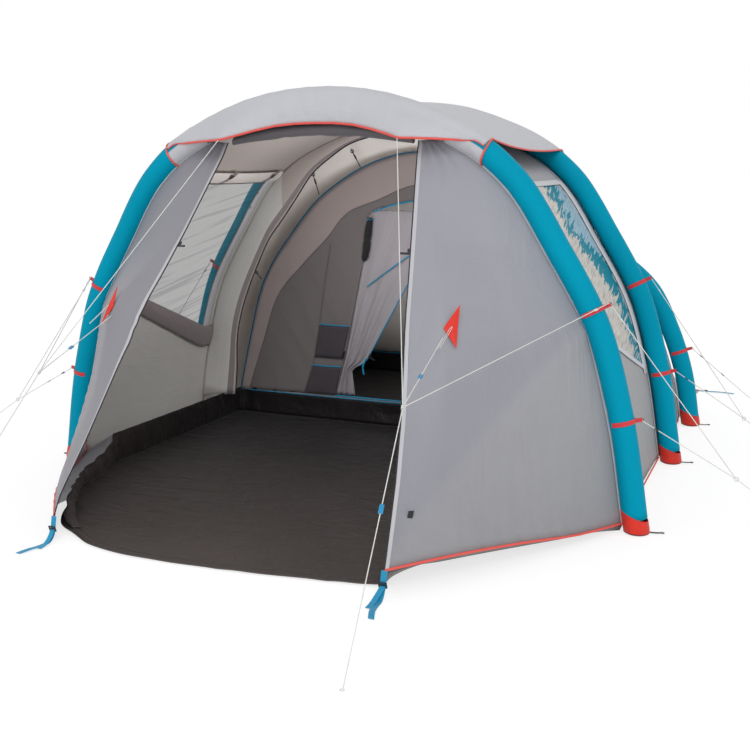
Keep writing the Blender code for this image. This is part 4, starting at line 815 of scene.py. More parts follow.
UPPER_AND_LOWER = (("_upper", 0.976), ("_lower", 0.498))
for name, points, y, straps in (("front", MAIN, 0.0, UPPER_AND_LOWER), ("middle", MAIN, YM, UPPER_AND_LOWER),
                                ("rear", REAR, YR, (("", 0.464),))):
    beam_sleeve(name, points, y)
    for side, word in SIDES:
        boot(name, points, y, side, word)
        for level, height in straps:
            strap_ring(f"{name}{level}_strap", points, y, height, side, word)


# Fly: living room

COL_FRONT, COL_REAR = 6, 34
ROW_SILL, ROW_TOP = 18, 40
WINDOW_TOP = 1.52


def sill(y):
    return interp(y, (0.25, 1.07), (0.86, 0.56))


def both_sides(left):
    return np.concatenate([left, END - left[:-1][::-1]])


def living_room():
    """Rows over the arch from hem to hem, columns along the room, with the windows on grid lines."""
    ys = np.r_[linspace(0.0, 0.25, 7), linspace(0.25, 1.07, 29)[1:], linspace(1.07, YM - 0.001, 6)[1:]]
    hem, low, top = u_at(HEM, ys), u_at(sill(ys), ys), u_at(WINDOW_TOP, ys)
    left = [hem]
    for a, b, count in ((hem, low, 19), (low, top, 23), (top, CROWN, 23)):
        left += [a + (b - a) * t for t in linspace(0, 1, count)[1:]]
    u = both_sides(array(left))
    flat = fly(u, ys)
    s = bay(ys / YM)
    crown = exp(-((u - CROWN) / 4.5) ** 4)
    pull = (-0.010 * s + 0.0035 * s * wobble(flat, (1.4, 1.4, 6.0), 11)
            + 0.0018 * wobble(flat, (3, 3, 14), 12) * s)
    return fly(u, ys, OFF + pull - 0.004 * folds(flat, (0.25, 0.1, 1.0), 0.085, 4) * s * (1 - crown))


living = living_room()
rows, cols = living.shape[:2]
keep = np.ones((rows - 1, cols - 1), bool)
for first, last in ((ROW_SILL, ROW_TOP), (rows - 1 - ROW_TOP, rows - 1 - ROW_SILL)):
    keep[first:last, COL_FRONT:COL_REAR] = False
cell = zeros((rows - 1, cols - 1), int)
cell[ROW_TOP:rows - 1 - ROW_TOP] = 1
cloth("living_room_cloth", living, ["fly_light", "fly"], (0, 0.6, 40.0), keep=keep, cell_mat=cell,
      inner=["pale", "taupe"], replaces=("living_room_shell",))


def wall_patch(y0, y1, low, high, off, side, ny, nz):
    """Patch of the side wall; an edge is a share of the sill's height, a height to add and a fall along y."""
    ys = linspace(y0, y1, ny)
    a, b = (u_at(share * sill(ys) + height - fall * clip(ys, 0, 1), ys, off)
            for share, height, fall in (low, high))
    u = a + (b - a) * linspace(0, 1, nz)[:, None]
    return fly(u if side < 0 else END - u, ys, off - DRAWN_IN * ys / YM * (1 - ys / YM))


ROOM = (0, 0.6, 0.6)
EDGE = OFF + 0.0050
# Tapes of a window: their span along the wall, lower and upper edge, depth, and counts of points
TAPES = (("frame_top", 0.235, 1.10, (0, 1.512, 0), (0, 1.537, 0), EDGE, 24, 6),
         ("frame_sill", 0.235, 1.10, (1, -0.022, 0), (1, 0.004, 0), EDGE, 24, 6),
         ("frame_front", 0.228, 0.256, (1, -0.02, 0), (0, 1.535, 0), EDGE, 4, 24),
         ("frame_rear", 1.058, 1.150, (1, -0.05, 0), (0, 1.535, 0), EDGE + 0.0006, 4, 24),
         ("inner_band", 1.055, 1.135, (1, -0.06, 0), (0, 1.54, 0), OFF - 0.0030, 4, 24))
for side, word in SIDES:
    pane = mirror(living[ROW_SILL:ROW_TOP + 1, COL_FRONT:COL_REAR + 1], -side)
    n = grid_normals(pane)
    if side < 0:
        slack = 0.0045 * folds(pane, (0.2, 0.25, 1.0), 0.062, 21) * patchy(pane, 2.2, 22, 0.7)
        depth = (slack - 0.001) * np.sign(n[..., 0].mean())
    else:
        depth = 0.6 * (0.0030 * folds(pane, (0.0, 1.0, 0.25), 0.030, 31)
                       + 0.004 * wobble(pane, (2, 14, 5), 33))
    cloth(f"window_film_{word}", pane + n * depth[..., None], [f"film_{word}"], (side * 30.0, 0.6, 10.0),
          thick=0.0, replaces=(f"window_{word}",))
    for part, y0, y1, low, high, off, ny, nz in TAPES:
        looks_at = ROOM if part == "inner_band" else (side * 30.0, 0.6, 12.0)
        tape = wall_patch(y0, y1, low, high, off, side, ny, nz)
        cloth(f"window_{part}_{word}", tape, ["tape"], looks_at, 0.0008, declare=False)
    flap = wall_patch(0.06, 1.165, (1, -0.035, 0.055), (1, 0.045, 0), OFF - 0.013, side, 40, 9)
    n = grid_normals(flap)
    inward = np.sign((n * (ROOM - flap)).sum(-1).mean())
    swell = sin(linspace(0, pi, 9))[:, None] * 0.014 + 0.004 * wobble(flap, (4, 9, 4), 41)
    flap = flap + n * inward * swell[..., None]
    cloth(f"window_flap_{word}", flap, ["flap"], ROOM)
    line_piece(f"window_flap_hem_{word}", flap[0], 0.0028, "flange")


# Fly: bedroom and rear

ys = linspace(YM + 0.001, YR, 30)
low = u_at(HEM, ys)
u = both_sides(low + (CROWN - low) * linspace(0, 1, 50)[:, None])
base = fly(u, ys)
s = bay((ys - YM) / (YR - YM))
pull = (-0.012 * s + 0.003 * s * wobble(base, (1.5, 1.5, 6.0), 13)
        - 0.004 * s * folds(base, (0.3, 0.3, 1), 0.09, 8))
bedroom_fly = fly(u, ys, OFF + pull)
cell = zeros((len(u) - 1, len(ys) - 1), int)
pale_rows = int(len(u) * 0.16)
cell[:pale_rows] = 1
cell[-pale_rows:] = 1
cloth("bedroom_fly_cloth", bedroom_fly, ["fly_light", "fly"], (0, 1.6, 40.0), cell_mat=cell,
      inner=["cream", "cream"], replaces=("bedroom_shell",))

REAR_END = 3.241
REAR_COUNT = 97
half_shares = (0.0, 0.19, 0.37, 0.50, 0.63, 0.77, 0.88, 0.955, 1.0)
ue = linspace(float(u_at(HEM, YR)), END - float(u_at(HEM, YR)), REAR_COUNT)
share = interp(ue, linspace(ue[0], ue[-1], 17), [-x for x in half_shares[:0:-1]] + list(half_shares))
foot_line = stack([1.50 * share, REAR_END - 0.06 * np.abs(share) ** 3, full(REAR_COUNT, 0.004)], -1)
rear = array(blend(fly(ue, YR + 0.001), foot_line, 40))
n = upward_normals(rear)
slack = bay(linspace(0, 1, 40)[:, None])
depth = slack * (-0.020 + 0.006 * wobble(rear, (3.0, 1.2, 1.2), 15)
                 - 0.006 * folds(rear, (1.0, 0.15, 0.1), 0.16, 16))
rear = rear + n * depth[..., None]
rear[..., 2] = np.maximum(rear[..., 2], 0.004)
cloth("rear_fly_cloth", rear, ["fly"], (0, 6.0, 30.0), inner=["cream"], replaces=("rear_shell",))
line_piece("rear_hem_piping", rear[-1] + (0, 0.003, 0.003), 0.0035, "piping")
for k, share in enumerate((0.26, 0.5, 0.74)):
    c = int(share * (REAR_COUNT - 1))
    ribbon(f"rear_seam_{k}", rear[:, c] + n[:, c] * 0.0012, (1, 0, 0), 0.012, "seam_grey")


# Roof cover and hood

ROOF_COUNT = 97
ROOF_SAG = 0.022
# Side edge of the roof: arch parameter along the tent
EDGE_Y, EDGE_U = (0.0, 0.25, 0.60, 0.90), (11.02, 11.14, 11.21, 11.23)
# Lower edge of the hood from its middle to its end
HEM_X = (0.0, 0.1, 0.2, 0.3, 0.4, 0.454, 0.5, 0.6, 0.7, 0.8, 0.802)
HEM_Y = (-0.070, -0.074, -0.082, -0.102, -0.135, -0.168, -0.150, -0.095, -0.062, -0.050, -0.047)
HEM_Z = (1.797, 1.795, 1.786, 1.765, 1.738, 1.723, 1.722, 1.719, 1.714, 1.706, 1.703)
HOOD_ANGLES = (78, 62, 46, 30, 15, 0)
CUFF_TURN = radians(176.0)


def roof_us(end):
    """Arch parameters across the roof cloth between its two side edges."""
    return linspace(END - end, end, ROOF_COUNT)


def over_beam(u, turn, extra=0.0):
    """Place on the roof cloth where it passes over the front beam, turned forward from the top."""
    r = R + 0.0016 + extra
    turn = np.broadcast_to(turn, u.shape)
    xz = arch(MAIN, u, r * cos(turn))
    return stack([xz[:, 0], -r * sin(turn), xz[:, 1]], -1)


def roof_offset(u, y):
    """Roof cloth's distance from the beams' centre lines: over the middle beam, and slack between beams."""
    r = R + 0.0020
    if y <= YM:
        return full(u.shape, r - ROOF_SAG * bay(y / YM))
    past = y - YM
    s = min(1.0, past / (YR - YM))
    middle = arch(MAIN, u)
    out = arch(MAIN, u, 1.0) - middle
    fall = np.maximum(((middle - arch(REAR, u)) * out).sum(-1), 0.0) / (YR - YM)
    steep = np.hypot(1.0, fall)
    wrap = max(r * r - past * past, 0.0) ** 0.5 + past * fall
    sag = ROOF_SAG * bay(min(1.0, max(0.0, (s - 0.06) / 0.88)))
    taut = r * np.maximum(steep / ((1 - s) + s / cos(SLOPE)), 1.0) - sag
    return np.where(past < r * fall / steep, wrap, taut)


uc = roof_us(EDGE_U[0])
near = clip((np.abs(uc - CROWN) / (EDGE_U[0] - CROWN) - 0.84) / 0.16, 0.0, 1.0)
near = near ** 2 * (3 - 2 * near)
hem_x = arch(MAIN, uc)[:, 0] / float(arch(MAIN, EDGE_U[0])[0]) * HEM_X[-1]
hem = stack([hem_x, interp(np.abs(hem_x), HEM_X, HEM_Y), interp(np.abs(hem_x), HEM_X, HEM_Z)], -1)
hem = hem * (1 - near[:, None]) + over_beam(uc, radians(66), 0.003) * near[:, None]
hood = [over_beam(uc, radians(a) * (1 - 0.25 * near)) for a in HOOD_ANGLES]
forward = [(0, -0.010 * sin(pi * t), 0) for t in linspace(0, 1, 8)[:-1]]
roof = [row + bulge for row, bulge in zip(blend(hem, hood[0], 8), forward)] + hood
over_middle = YM + array((0.008, 0.016, 0.024, 0.032, 0.042))
for y in np.r_[linspace(0.0, YM, 22)[1:], over_middle, linspace(YM, YR + 0.06, 20)[1:]]:
    us = roof_us(float(interp(y, EDGE_Y, EDGE_U)))
    roof.append(fly(us, y, roof_offset(us, y)))
roof = array(roof)
n = upward_normals(roof)
ripple = 0.004 * wobble(roof, (6, 1.6, 3), 52)
ripple[:13] = 0.0035 * folds(roof[:13], (1.0, 0.0, 0.15), 0.115, 51) * linspace(1.0, 0.4, 13)[:, None]
fade = np.minimum(1.0, np.arange(len(roof)) / 3.0)[:, None]
roof = roof + n * np.maximum(ripple * fade, -0.001)[..., None]
cloth("roof_cover_cloth", roof, ["roof"], (0, 0.8, 40.0), inner=["wing_in"], replaces=("roof_cover",),
      offset=1.0)
line_piece("hood_piping", roof[0] + (0, -0.0015, -0.001), 0.0052, "piping")


def cuff_end(turn):
    return EDGE_U[0] + 0.20 * turn / CUFF_TURN


gusset = array([over_beam(roof_us(cuff_end(a)), a, 0.0006) for a in radians(linspace(84.0, 176.0, 14))])
pleat = 0.0016 * folds(gusset, (1.0, 0.0, 0.2), 0.045, 53)
gn = grid_normals(gusset)
gusset = gusset - gn * np.sign(gn[8, 48, 1]) * pleat[..., None]
# The gusset's middle under the hood takes the rolled door's grey, darkened as painted shading
cell = np.where(np.abs(gusset[:-1, :-1, 0]) > 0.62, 1, 0)
cloth("hood_gusset_cloth", gusset, ["roll", "roof"], (0, -9.0, 1.6), 0.0008, cell_mat=cell)
for side, word, col in ((-1, "left", 0), (1, "right", -1)):
    edge = roof[12:, col] + n[12:, col] * 0.001 + (side * 0.002, 0, 0)
    line_piece(f"roof_side_piping_{word}", edge, 0.0048, "piping")
    cuff = [over_beam(array([cuff_end(a)]), a, 0.0025)[0] for a in linspace(0.0, CUFF_TURN, 26)]
    line_piece(f"hood_cuff_piping_{word}", mirror(cuff, side), 0.0045, "piping")
line_piece("roof_rear_piping", roof[-1], 0.0040, "piping")
ribbon("roof_seam_middle", roof[39] + n[39] * 0.0016, (0, 1, 0), 0.010, "seam_grey")


# Porch wings

WING_LOW, WING_HIGH = 0.11, 1.714
FREE_Z = (WING_LOW, 0.20, 0.40, 0.60, 0.80, 0.95, 1.10, 1.30, 1.50, 1.65, WING_HIGH)
FREE_X = (0.778, 0.772, 0.745, 0.714, 0.676, 0.650, 0.618, 0.575, 0.535, 0.505, 0.498)
FREE_Y = (-1.083, -1.035, -0.889, -0.761, -0.638, -0.554, -0.443, -0.296, -0.156, -0.049, -0.010)
BOTTOM = ((0.778, -1.083, 0.11), (0.979, -0.829, 0.112), (1.159, -0.563, 0.092), (1.327, -0.288, 0.056),
          (1.482, -0.004, 0.038))
# How far the wing bulges at each height, from the free edge to the beam
BULGE = ((0, 0.010, 0.020, 0), (0, 0.040, 0.015, 0), (0, 0.100, 0.060, 0), (0, 0.022, 0.018, 0),
         (0, 0, 0, 0), (0, 0, 0, 0), (0, 0, 0, 0))
BULGE_Z = (WING_LOW, 0.59, 0.942, 1.30, 1.438, 1.576, WING_HIGH)
BULGE_SHARES = (0.0, 0.18, 0.62, 1.0)
# Ground line of the dark flap under the right wing's hem
FLAP_FOOT = array(((0.738, -0.985), (0.722, -0.900), (0.742, -0.795), (0.857, -0.665), (0.983, -0.518),
                   (1.114, -0.372), (1.252, -0.220), (1.395, -0.055), (1.470, -0.004)))


def through(values, u):
    """Smooth curve through plain numbers."""
    return spline(stack([values, values], -1), u)[:, 0]


def wing_grid():
    """The right wing, row by row from its hem to the hood, with its unit normals."""
    w, s = linspace(0, 6, 72), linspace(0, 1, 48)
    z = through(BULGE_Z, w)
    z[0], z[-1] = WING_LOW, WING_HIGH
    free = stack([interp(z, FREE_Z, FREE_X), interp(z, FREE_Z, FREE_Y), z], -1)
    u_seam = interp(w, np.arange(7), (float(u_at(HEM, 0.0, side=1)), 15.0, 14.0, 13.0, 12.0, 11.0, 10.0))
    seam = fly(u_seam, 0.0)
    seam[:, 1] = -0.003
    push = unit(np.cross(unit(seam - free), (0, 0, 1)))[:, None]
    bulge = array([through(row, interp(s, BULGE_SHARES, np.arange(4))) for row in spline(BULGE, w)])
    grid = free[:, None] * (1 - s)[:, None] + seam[:, None] * s[:, None] + push * bulge[..., None]
    grid = grid + (spline(BOTTOM, s * 4.0) - grid[0]) * (clip(1 - w / 1.3, 0, 1) ** 2)[:, None, None]
    w, middle = w[:, None], sin(pi * s)
    # A cone where the line pulls, and creases that run to it
    to = grid - PATCH
    far = norm(to, axis=-1)
    turn = np.arctan2(to[..., 2], to[..., 0] * 0.75 - to[..., 1] * 0.6)
    cone = 0.012 * exp(-far / 0.10)
    rays = 0.0030 * exp(-far / 0.55) * clip(far / 0.10, 0, 1) * cos(9 * turn + 1.2)
    gather = (0.0035 * cos(2 * pi * s * 26 + 2.0 * wobble(grid, 3.0, 61))
              * clip((w - 3.6) / 2.2, 0, 1) * middle)
    soft = 0.006 * wobble(grid, (2.2, 2.2, 0.9), 62) * middle
    drape = 0.0035 * folds(grid, (1, -0.8, 0.1), 0.17, 63) * clip(1.2 - w / 4.0, 0, 1) * middle
    ridge = 0.014 * exp(-np.abs(grid @ array(WING_PAINTED_SHADE[0]) + 0.004) / 0.055) * clip(w / 0.5, 0, 1)
    pucker = 0.003 * cos(2 * pi * s * 34) * exp(-w / 0.4) * middle
    n = grid_normals(grid)
    if (n * push).sum(-1).mean() < 0:
        n = -n
    return grid + n * (cone + rays + gather + soft + drape + ridge + pucker)[..., None], n


WING, WING_N = wing_grid()
KITE_FACES = ((0, 4, 3), (3, 4, 1), (1, 4, 2), (2, 4, 0), (5, 8, 9), (8, 6, 9), (6, 7, 9), (7, 5, 9),
              (0, 3, 8, 5), (3, 1, 6, 8), (1, 2, 7, 6), (2, 0, 5, 7))
for side, word in SIDES:
    grid, n = mirror(WING, side), mirror(WING_N, side)
    cloth(f"wing_cloth_{word}", grid, ["wing" if side > 0 else "wing_painted_shade_left"], (side * 6.0, -9.0, 1.5),
          inner=["wing_in"], replaces=(f"porch_wing_{word}",))
    line_piece(f"wing_hem_piping_{word}", grid[0] + (0, 0, -0.002), 0.0055, "piping")
    if side > 0:
        foot_line = np.c_[FLAP_FOOT, zeros(len(FLAP_FOOT))]
        foot_line = spline(foot_line, linspace(0, len(foot_line) - 1, grid.shape[1]))
    else:
        foot_line = WING[0] + (0.012, -0.010, 0)
    foot_line[:, 2] = 0.002
    flap = array(blend(WING[0] + (0, 0, -0.003), foot_line, 6))
    slack = 0.010 * folds(flap, (1.0, -1.0, 0.0), 0.10, 65) * sin(pi * linspace(0, 1, 6))[:, None]
    flap = flap + array((0.6, -0.8, 0.0)) * slack[..., None] * 0.5
    cloth(f"wing_mud_flap_{word}", mirror(flap, side), ["ground_edge"], (side * 6.0, -9.0, 0.5), 0.0010)
    free = grid[:, 0]
    inward = unit(grid[:, 3] - free)
    ribbon(f"wing_zip_tape_{word}", free + inward * 0.0090, inward, 0.018, "wing_edge", 0.0018)
    line_piece(f"wing_zip_coil_{word}", free - inward * 0.0010, 0.0030, "zip")
    back = grid[:, -3] - grid[:, -1]
    seam = grid[:, -1] + back * 0.12 + n[:, -1] * 0.003
    ribbon(f"wing_beam_tape_{word}", seam, back, 0.016, "tape", 0.0016)
    # Red patch that takes the guy line
    centre = mirror(PATCH, side)
    i, j = np.unravel_index(np.argmin(norm(grid - centre, axis=-1)), grid.shape[:2])
    out = unit(n[i, j])
    across = unit(grid[i, j + 4] - grid[i, j - 4])
    up = np.cross(across, out)
    up = up if up[2] > 0 else -up
    middle = centre + out * float((grid[i, j] - centre) @ out)
    apex = middle + out * 0.018
    kite = array([middle + up * 0.105 + across * 0.050, middle - up * 0.090 + across * 0.015,
                  middle - across * 0.030, middle + across * 0.030, apex])
    kite[:4] += out * 0.006
    mesh_piece(f"wing_patch_{word}", np.concatenate([kite, kite - out * 0.0025]),
               [face[::side] for face in KITE_FACES], ["boot"], smooth=False)
    pulled = unit(mirror(KNOT, side) - apex)
    for k, shift in enumerate((-0.004, 0.004)):
        way = [apex + across * shift * 0.4, apex + pulled * 0.02 + across * shift,
               apex + pulled * 0.16 + across * shift]
        line_piece(f"wing_patch_loop{k}_{word}", way, 0.0012, "cord")
    if side > 0:
        rounded_box("wing_tag", grid[4, 3] + n[4, 3] * 0.002, ((0.2, 0, 1.0), across, out),
                    (0.055, 0.022, 0.0012), "black_web", 0.0003)


# Rolled front door and curtain

def spiral_roll(inner, turns, start_angle, count):
    """Flat spiral from its outside to its middle, as (a, b) pairs for a unit circle."""
    t = linspace(0, 1, count)
    r = 1.0 + (inner - 1.0) * t
    a = radians(start_angle) + turns * 2 * pi * t
    return cos(a) * r, sin(a) * r


def rolled_door():
    """Door cloth sewn under the hood, wound up on itself, drawn in by its ties."""
    ya, za = spiral_roll(0.25, 9.0, 100, 230)
    lining = fly(linspace(6, 10, 60), 0.0)
    rows = []
    for st in linspace(-1, 1, 49):
        x, far = st * 0.470, abs(st)
        squeeze = 1.0 - 0.16 * bell(far - 0.40, 0.05) - 0.10 * bell(st, 0.05)
        r = 0.0285 * squeeze * (0.96 + 0.05 * sin(9 * st)) * (1 - 0.42 * far ** 3)
        ring = stack([full(len(ya), x), -0.004 + ya * r, 1.767 - 0.050 * st ** 2 + za * r * 1.04], -1)
        high = interp(x, lining[:, 0], lining[:, 2]) - 0.004
        rows.append(np.concatenate([[(x, -0.003, high), (x, -0.004, (high + ring[0, 2]) / 2)], ring]))
    return array(rows)


# The roll's grey is darkened as painted shading under the hood
cloth("front_door_roll_cloth", rolled_door(), ["roll"], (0, -20.0, 1.7), thick=0.0,
      replaces=("front_door_rolled",))
CURTAIN_STRAPS = (0.50, 0.97)
low, high = (fly(float(u_at(height, 0.6)), 0.6) for height in (1.522, 1.612))
along = unit(high - low)
out = array((-along[2], 0.0, along[0]))
curtain_middle = (low + high) / 2 - out * 0.0165
curtain_middle[1] = 0.0


def curtain_centre(y, inward=0.0):
    """Middle of the curtain's roll, which follows the wall where it is drawn in between the beams."""
    return curtain_middle - out * (DRAWN_IN * y / YM * (1 - y / YM) + 0.004 + inward) + (0, y, 0)


wide, deep = spiral_roll(0.30, 5.0, 60, 170)
rows = []
for y in linspace(0.16, 1.10, 40):
    fat = 1.0 - sum(0.12 * bell(y - at, 0.03) for at in CURTAIN_STRAPS)
    sag = (0, 0, 0.004 * sin(pi * (y - 0.16) / 0.94))
    rows.append(curtain_centre(y) + np.outer(wide * 0.044, along) + np.outer(deep * 0.0125 * fat, out) - sag)
cloth("window_curtain_cloth", array(rows), ["curtain"], (0, 0.6, 1.0), thick=0.0,
      replaces=("window_curtain_rolled",))
for k, y in enumerate(CURTAIN_STRAPS):
    face = curtain_centre(y, 0.0150)
    rounded_box(f"curtain_tab_{k}", face + along * 0.024 - out * 0.006, (along, (0, 1, 0), out),
                (0.026, 0.026, 0.0020), "black_web", 0.0004)
    way = [face + along * rise + out * depth + (0, shift, 0) for rise, depth, shift in
           ((0.046, 0.010, 0.05), (0.020, 0, 0.02), (0, 0, 0), (-0.020, 0, -0.02), (-0.046, 0.010, -0.05))]
    ribbon(f"curtain_strap_{k}", way, (0, 1, 0), 0.040, "flap", 0.0012)


# Floors

# Edge of the floor, from the right-hand beam along the crease and the front to the left-hand beam
FLOOR_EDGE = array(((1.285, 0.0), (1.236, -0.200), (1.100, -0.370), (0.970, -0.515), (0.845, -0.660),
                    (0.735, -0.790), (0.715, -0.870), (0.722, -0.940), (0.734, -0.985), (0.641, -1.012),
                    (0.481, -1.041), (0.317, -1.065), (0.149, -1.090), (-0.029, -1.106), (-0.214, -1.118),
                    (-0.416, -1.117), (-0.600, -1.080), (-0.740, -1.007), (-0.860, -0.940), (-0.940, -0.848),
                    (-1.020, -0.710), (-1.117, -0.523), (-1.208, -0.234), (-1.245, -0.125), (-1.285, 0.0)))
FLOOR_HALF, FLOOR_COUNT = 1.285, 141
outline = arc_points(smooth_path(FLOOR_EDGE, 6), FLOOR_COUNT)
hub_x = linspace(FLOOR_HALF, -FLOOR_HALF, FLOOR_COUNT)
hub = np.c_[hub_x, zeros(FLOOR_COUNT)]
floor = [outline * (1 - t) + hub * t for t in np.r_[linspace(0, 0.1, 6), linspace(0.1, 1.0, 22)[1:]]]
floor += [hub + (0, y) for y in linspace(0.0, 1.3490, 34)[1:]]
floor = np.dstack([array(floor), zeros((len(floor), FLOOR_COUNT))])
crease = (0.0016 * clip(wobble(floor, (2.5, 6.0, 1), 71), -0.6, 1)
          + 0.0026 * folds(floor, (0.25, 1.0, 0), 0.13, 72) * patchy(floor, (1.6, 1.6, 1), 73, 0.3)
          + 0.0022 * folds(floor, (1.0, 0.5, 0), 0.21, 74) * patchy(floor, (1.2, 1.9, 1), 75))
edge_lift = zeros((len(floor), 1))
edge_lift[:3, 0] = 0.004, 0.0055, 0.003
hem_wave = 0.004 * np.abs(wobble(floor, (7.0, 7.0, 1), 76)) * exp(-np.arange(len(floor)) / 3.0)[:, None]
floor[..., 2] = 0.0018 + crease + edge_lift + hem_wave
# Crease and upper edge of the groundsheet's side in the porch, on the left and then on the right
PORCH_SIDES = {
    -1: (((1.2845, 0.0, 0.001), (1.245, -0.125, 0.002), (1.208, -0.234, 0.003), (1.117, -0.523, 0.004),
          (1.010, -0.700, 0.004), (0.900, -0.830, 0.004), (0.810, -0.900, 0.004), (0.757, -0.940, 0.004)),
         ((1.2845, 0.0, 0.161), (1.262, -0.060, 0.125), (1.202, -0.256, 0.102), (1.130, -0.459, 0.100),
          (1.048, -0.605, 0.100), (0.925, -0.820, 0.094), (0.885, -0.895, 0.055), (0.790, -0.975, 0.016))),
    1: (((1.2845, 0.0, 0.001), (1.236, -0.200, 0.003), (1.100, -0.370, 0.004), (0.970, -0.515, 0.004),
         (0.845, -0.660, 0.004), (0.735, -0.790, 0.004)),
        ((1.2845, 0.0, 0.161), (1.240, -0.190, 0.105), (1.105, -0.360, 0.100), (0.975, -0.505, 0.098),
         (0.850, -0.650, 0.090), (0.742, -0.780, 0.060))),
}


def bath_wall():
    """Upstanding right wall of the groundsheet, in the seam's line, slumped in soft folds."""
    ys = np.r_[linspace(0.0, 1.3450, 44), 1.3456, 1.3458, 1.3460]
    turn_in = np.r_[zeros(44), 0.010, 0.020, 0.032]
    height = interp(ys, (0.0, 1.345), (0.160, 0.156))
    grid = []
    for t in linspace(0, 1, 9):
        pts = stack([1.2845 - turn_in, ys, 0.0010 + height * t], -1)
        slump = 0.010 * sin(pi * t) * (1 + wobble(pts, (1, 6, 6), 77))
        pts[:, 0] -= slump + 0.004 * folds(pts, (0, 1, 0.5), 0.11, 78) * t
        grid.append(pts)
    return array(grid)


def porch_side(side):
    """Edge of the groundsheet that stands up inside a porch wing, in slack folds."""
    low, high = (smooth_path(path, 9) for path in PORCH_SIDES[side])
    grid = array(blend(low, high, 10))
    t = linspace(0, 1, 10)[:, None]
    slack = 0.022 * sin(pi * t) + 0.012 * folds(grid, (0.5, 1.0, 0.4), 0.12, 79) * t
    grid = grid + unit(((0.3, -0.2, 0.0) - grid) * (1, 1, 0)) * slack[..., None]
    grid[..., 2] = np.maximum(grid[..., 2] + 0.004 * wobble(grid, (9, 9, 9), 80) * t, 0.003)
    return mirror(grid, side)


cloth("groundsheet_floor_cloth", floor, ["ground"], (0, 0.2, 30.0), thick=0.0008,
      replaces=("living_groundsheet",))
for side, word in SIDES:
    wall = mirror(bath_wall(), side)
    brim = porch_side(side)
    cloth(f"groundsheet_wall_{word}", wall, ["ground"], (0, 0.5, 0.5), 0.0008,
          replaces=("living_groundsheet",))
    line_piece(f"groundsheet_wall_piping_{word}", wall[-1], 0.0030, "zip")
    cloth(f"groundsheet_porch_side_{word}", brim, ["ground"], (0, -0.3, 0.6), 0.0008)
    line_piece(f"groundsheet_porch_piping_{word}", brim[-1], 0.0030, "zip")
    if side < 0:
        count = brim.shape[1]
        upper = arc_points(mirror(WING[0, 5:], side)[::-1], count)
        lower = arc_points(brim[-1, :count * 3 // 4], count)
        cloth("wing_skirt_left", array(blend(upper, lower, 6)), ["wing_in"], (0, -0.3, 0.6), 0.0010)
line_piece("groundsheet_front_hem", floor[0] + (0, 0, 0.0008), 0.0030, "ground_edge")
line_piece("groundsheet_front_stitch", floor[2] + (0, 0, 0.0008), 0.0014, "ground_edge")

TRAY_FRONT, TRAY_REAR = (1.268, 1.3465), (1.148, 2.998)
(front_x, front_y), (rear_x, rear_y) = TRAY_FRONT, TRAY_REAR
ys = linspace(front_y, rear_y, 40)
half = interp(ys, (1.345, 3.0), (front_x, rear_x))
bed_floor = stack([np.outer(half, linspace(-1, 1, 60)), np.outer(ys, full(60, 1.0)), zeros((40, 60))], -1)
bed_floor[..., 2] = (0.0018 + 0.0018 * np.abs(wobble(bed_floor, 5, 83))
                     + 0.003 * folds(bed_floor, (1, 0.4, 0), 0.16, 81) * patchy(bed_floor, (1.4, 1.4, 1), 82))
cloth("bedroom_floor_cloth", bed_floor, ["ground"], (0, 2.0, 30.0), 0.0008, replaces=("bedroom_tray",))
corners = array([(-front_x, front_y), (front_x, front_y), (rear_x, rear_y), (-rear_x, rear_y),
                 (-front_x, front_y)])
loop = array([p + (q - p) * k / 24 for p, q in zip(corners, corners[1:]) for k in range(24)])
inward = unit((0.0, 2.15) - loop)
rows = []
for t in linspace(0, 1, 8):
    ring = np.c_[loop, full(len(loop), 0.0010 + 0.149 * t)]
    lean = 0.006 * sin(pi * t) * (1 + wobble(ring, (5, 5, 5), 84))
    ring[:, :2] += inward * np.maximum(lean, 0)[:, None]
    rows.append(ring)
cloth("bedroom_tray_wall", array(rows), ["ground"], None, 0.0008, wrap=True, replaces=("bedroom_tray",),
      flat=(8.3, 0.155))
line_piece("bedroom_tray_piping", rows[-1], 0.0034, "blue", closed=True)


# Hung bedroom

# Left halves, from the foot to the middle: outer edge, seam of the band, doorway
OUTLINE = ((-1.27, 0.152), (-1.19, 0.490), (-1.071, 0.890), (-0.870, 1.190), (-0.660, 1.421), (-0.520, 1.520),
           (-0.381, 1.598), (0.0, 1.690))
SEAM_LINE = ((-1.205, 0.152), (-1.090, 0.480), (-0.962, 0.809), (-0.780, 1.010), (-0.621, 1.166),
             (-0.482, 1.321), (-0.288, 1.401), (0.0, 1.497))
DOORWAY = ((-0.57, 0.165), (-0.530, 0.310), (-0.490, 0.458), (-0.432, 0.745), (-0.372, 1.040),
           (-0.310, 1.340), (-0.150, 1.380), (0.0, 1.410))
WALL_COUNT = 121


def along_loop(half, count):
    """Evenly spaced points on the smooth whole of a left half."""
    half = array(half, float)
    whole = np.concatenate([half, (half * (-1, 1))[::-1][1:]])
    return arc_points(spline(whole, linspace(0, len(whole) - 1, 400)), count)


def upright(xz, y):
    """Places in an upright plane from (x, z) pairs."""
    xz = np.asarray(xz, float)
    return stack([xz[..., 0], full(xz.shape[:-1], float(y)), xz[..., 1]], -1)


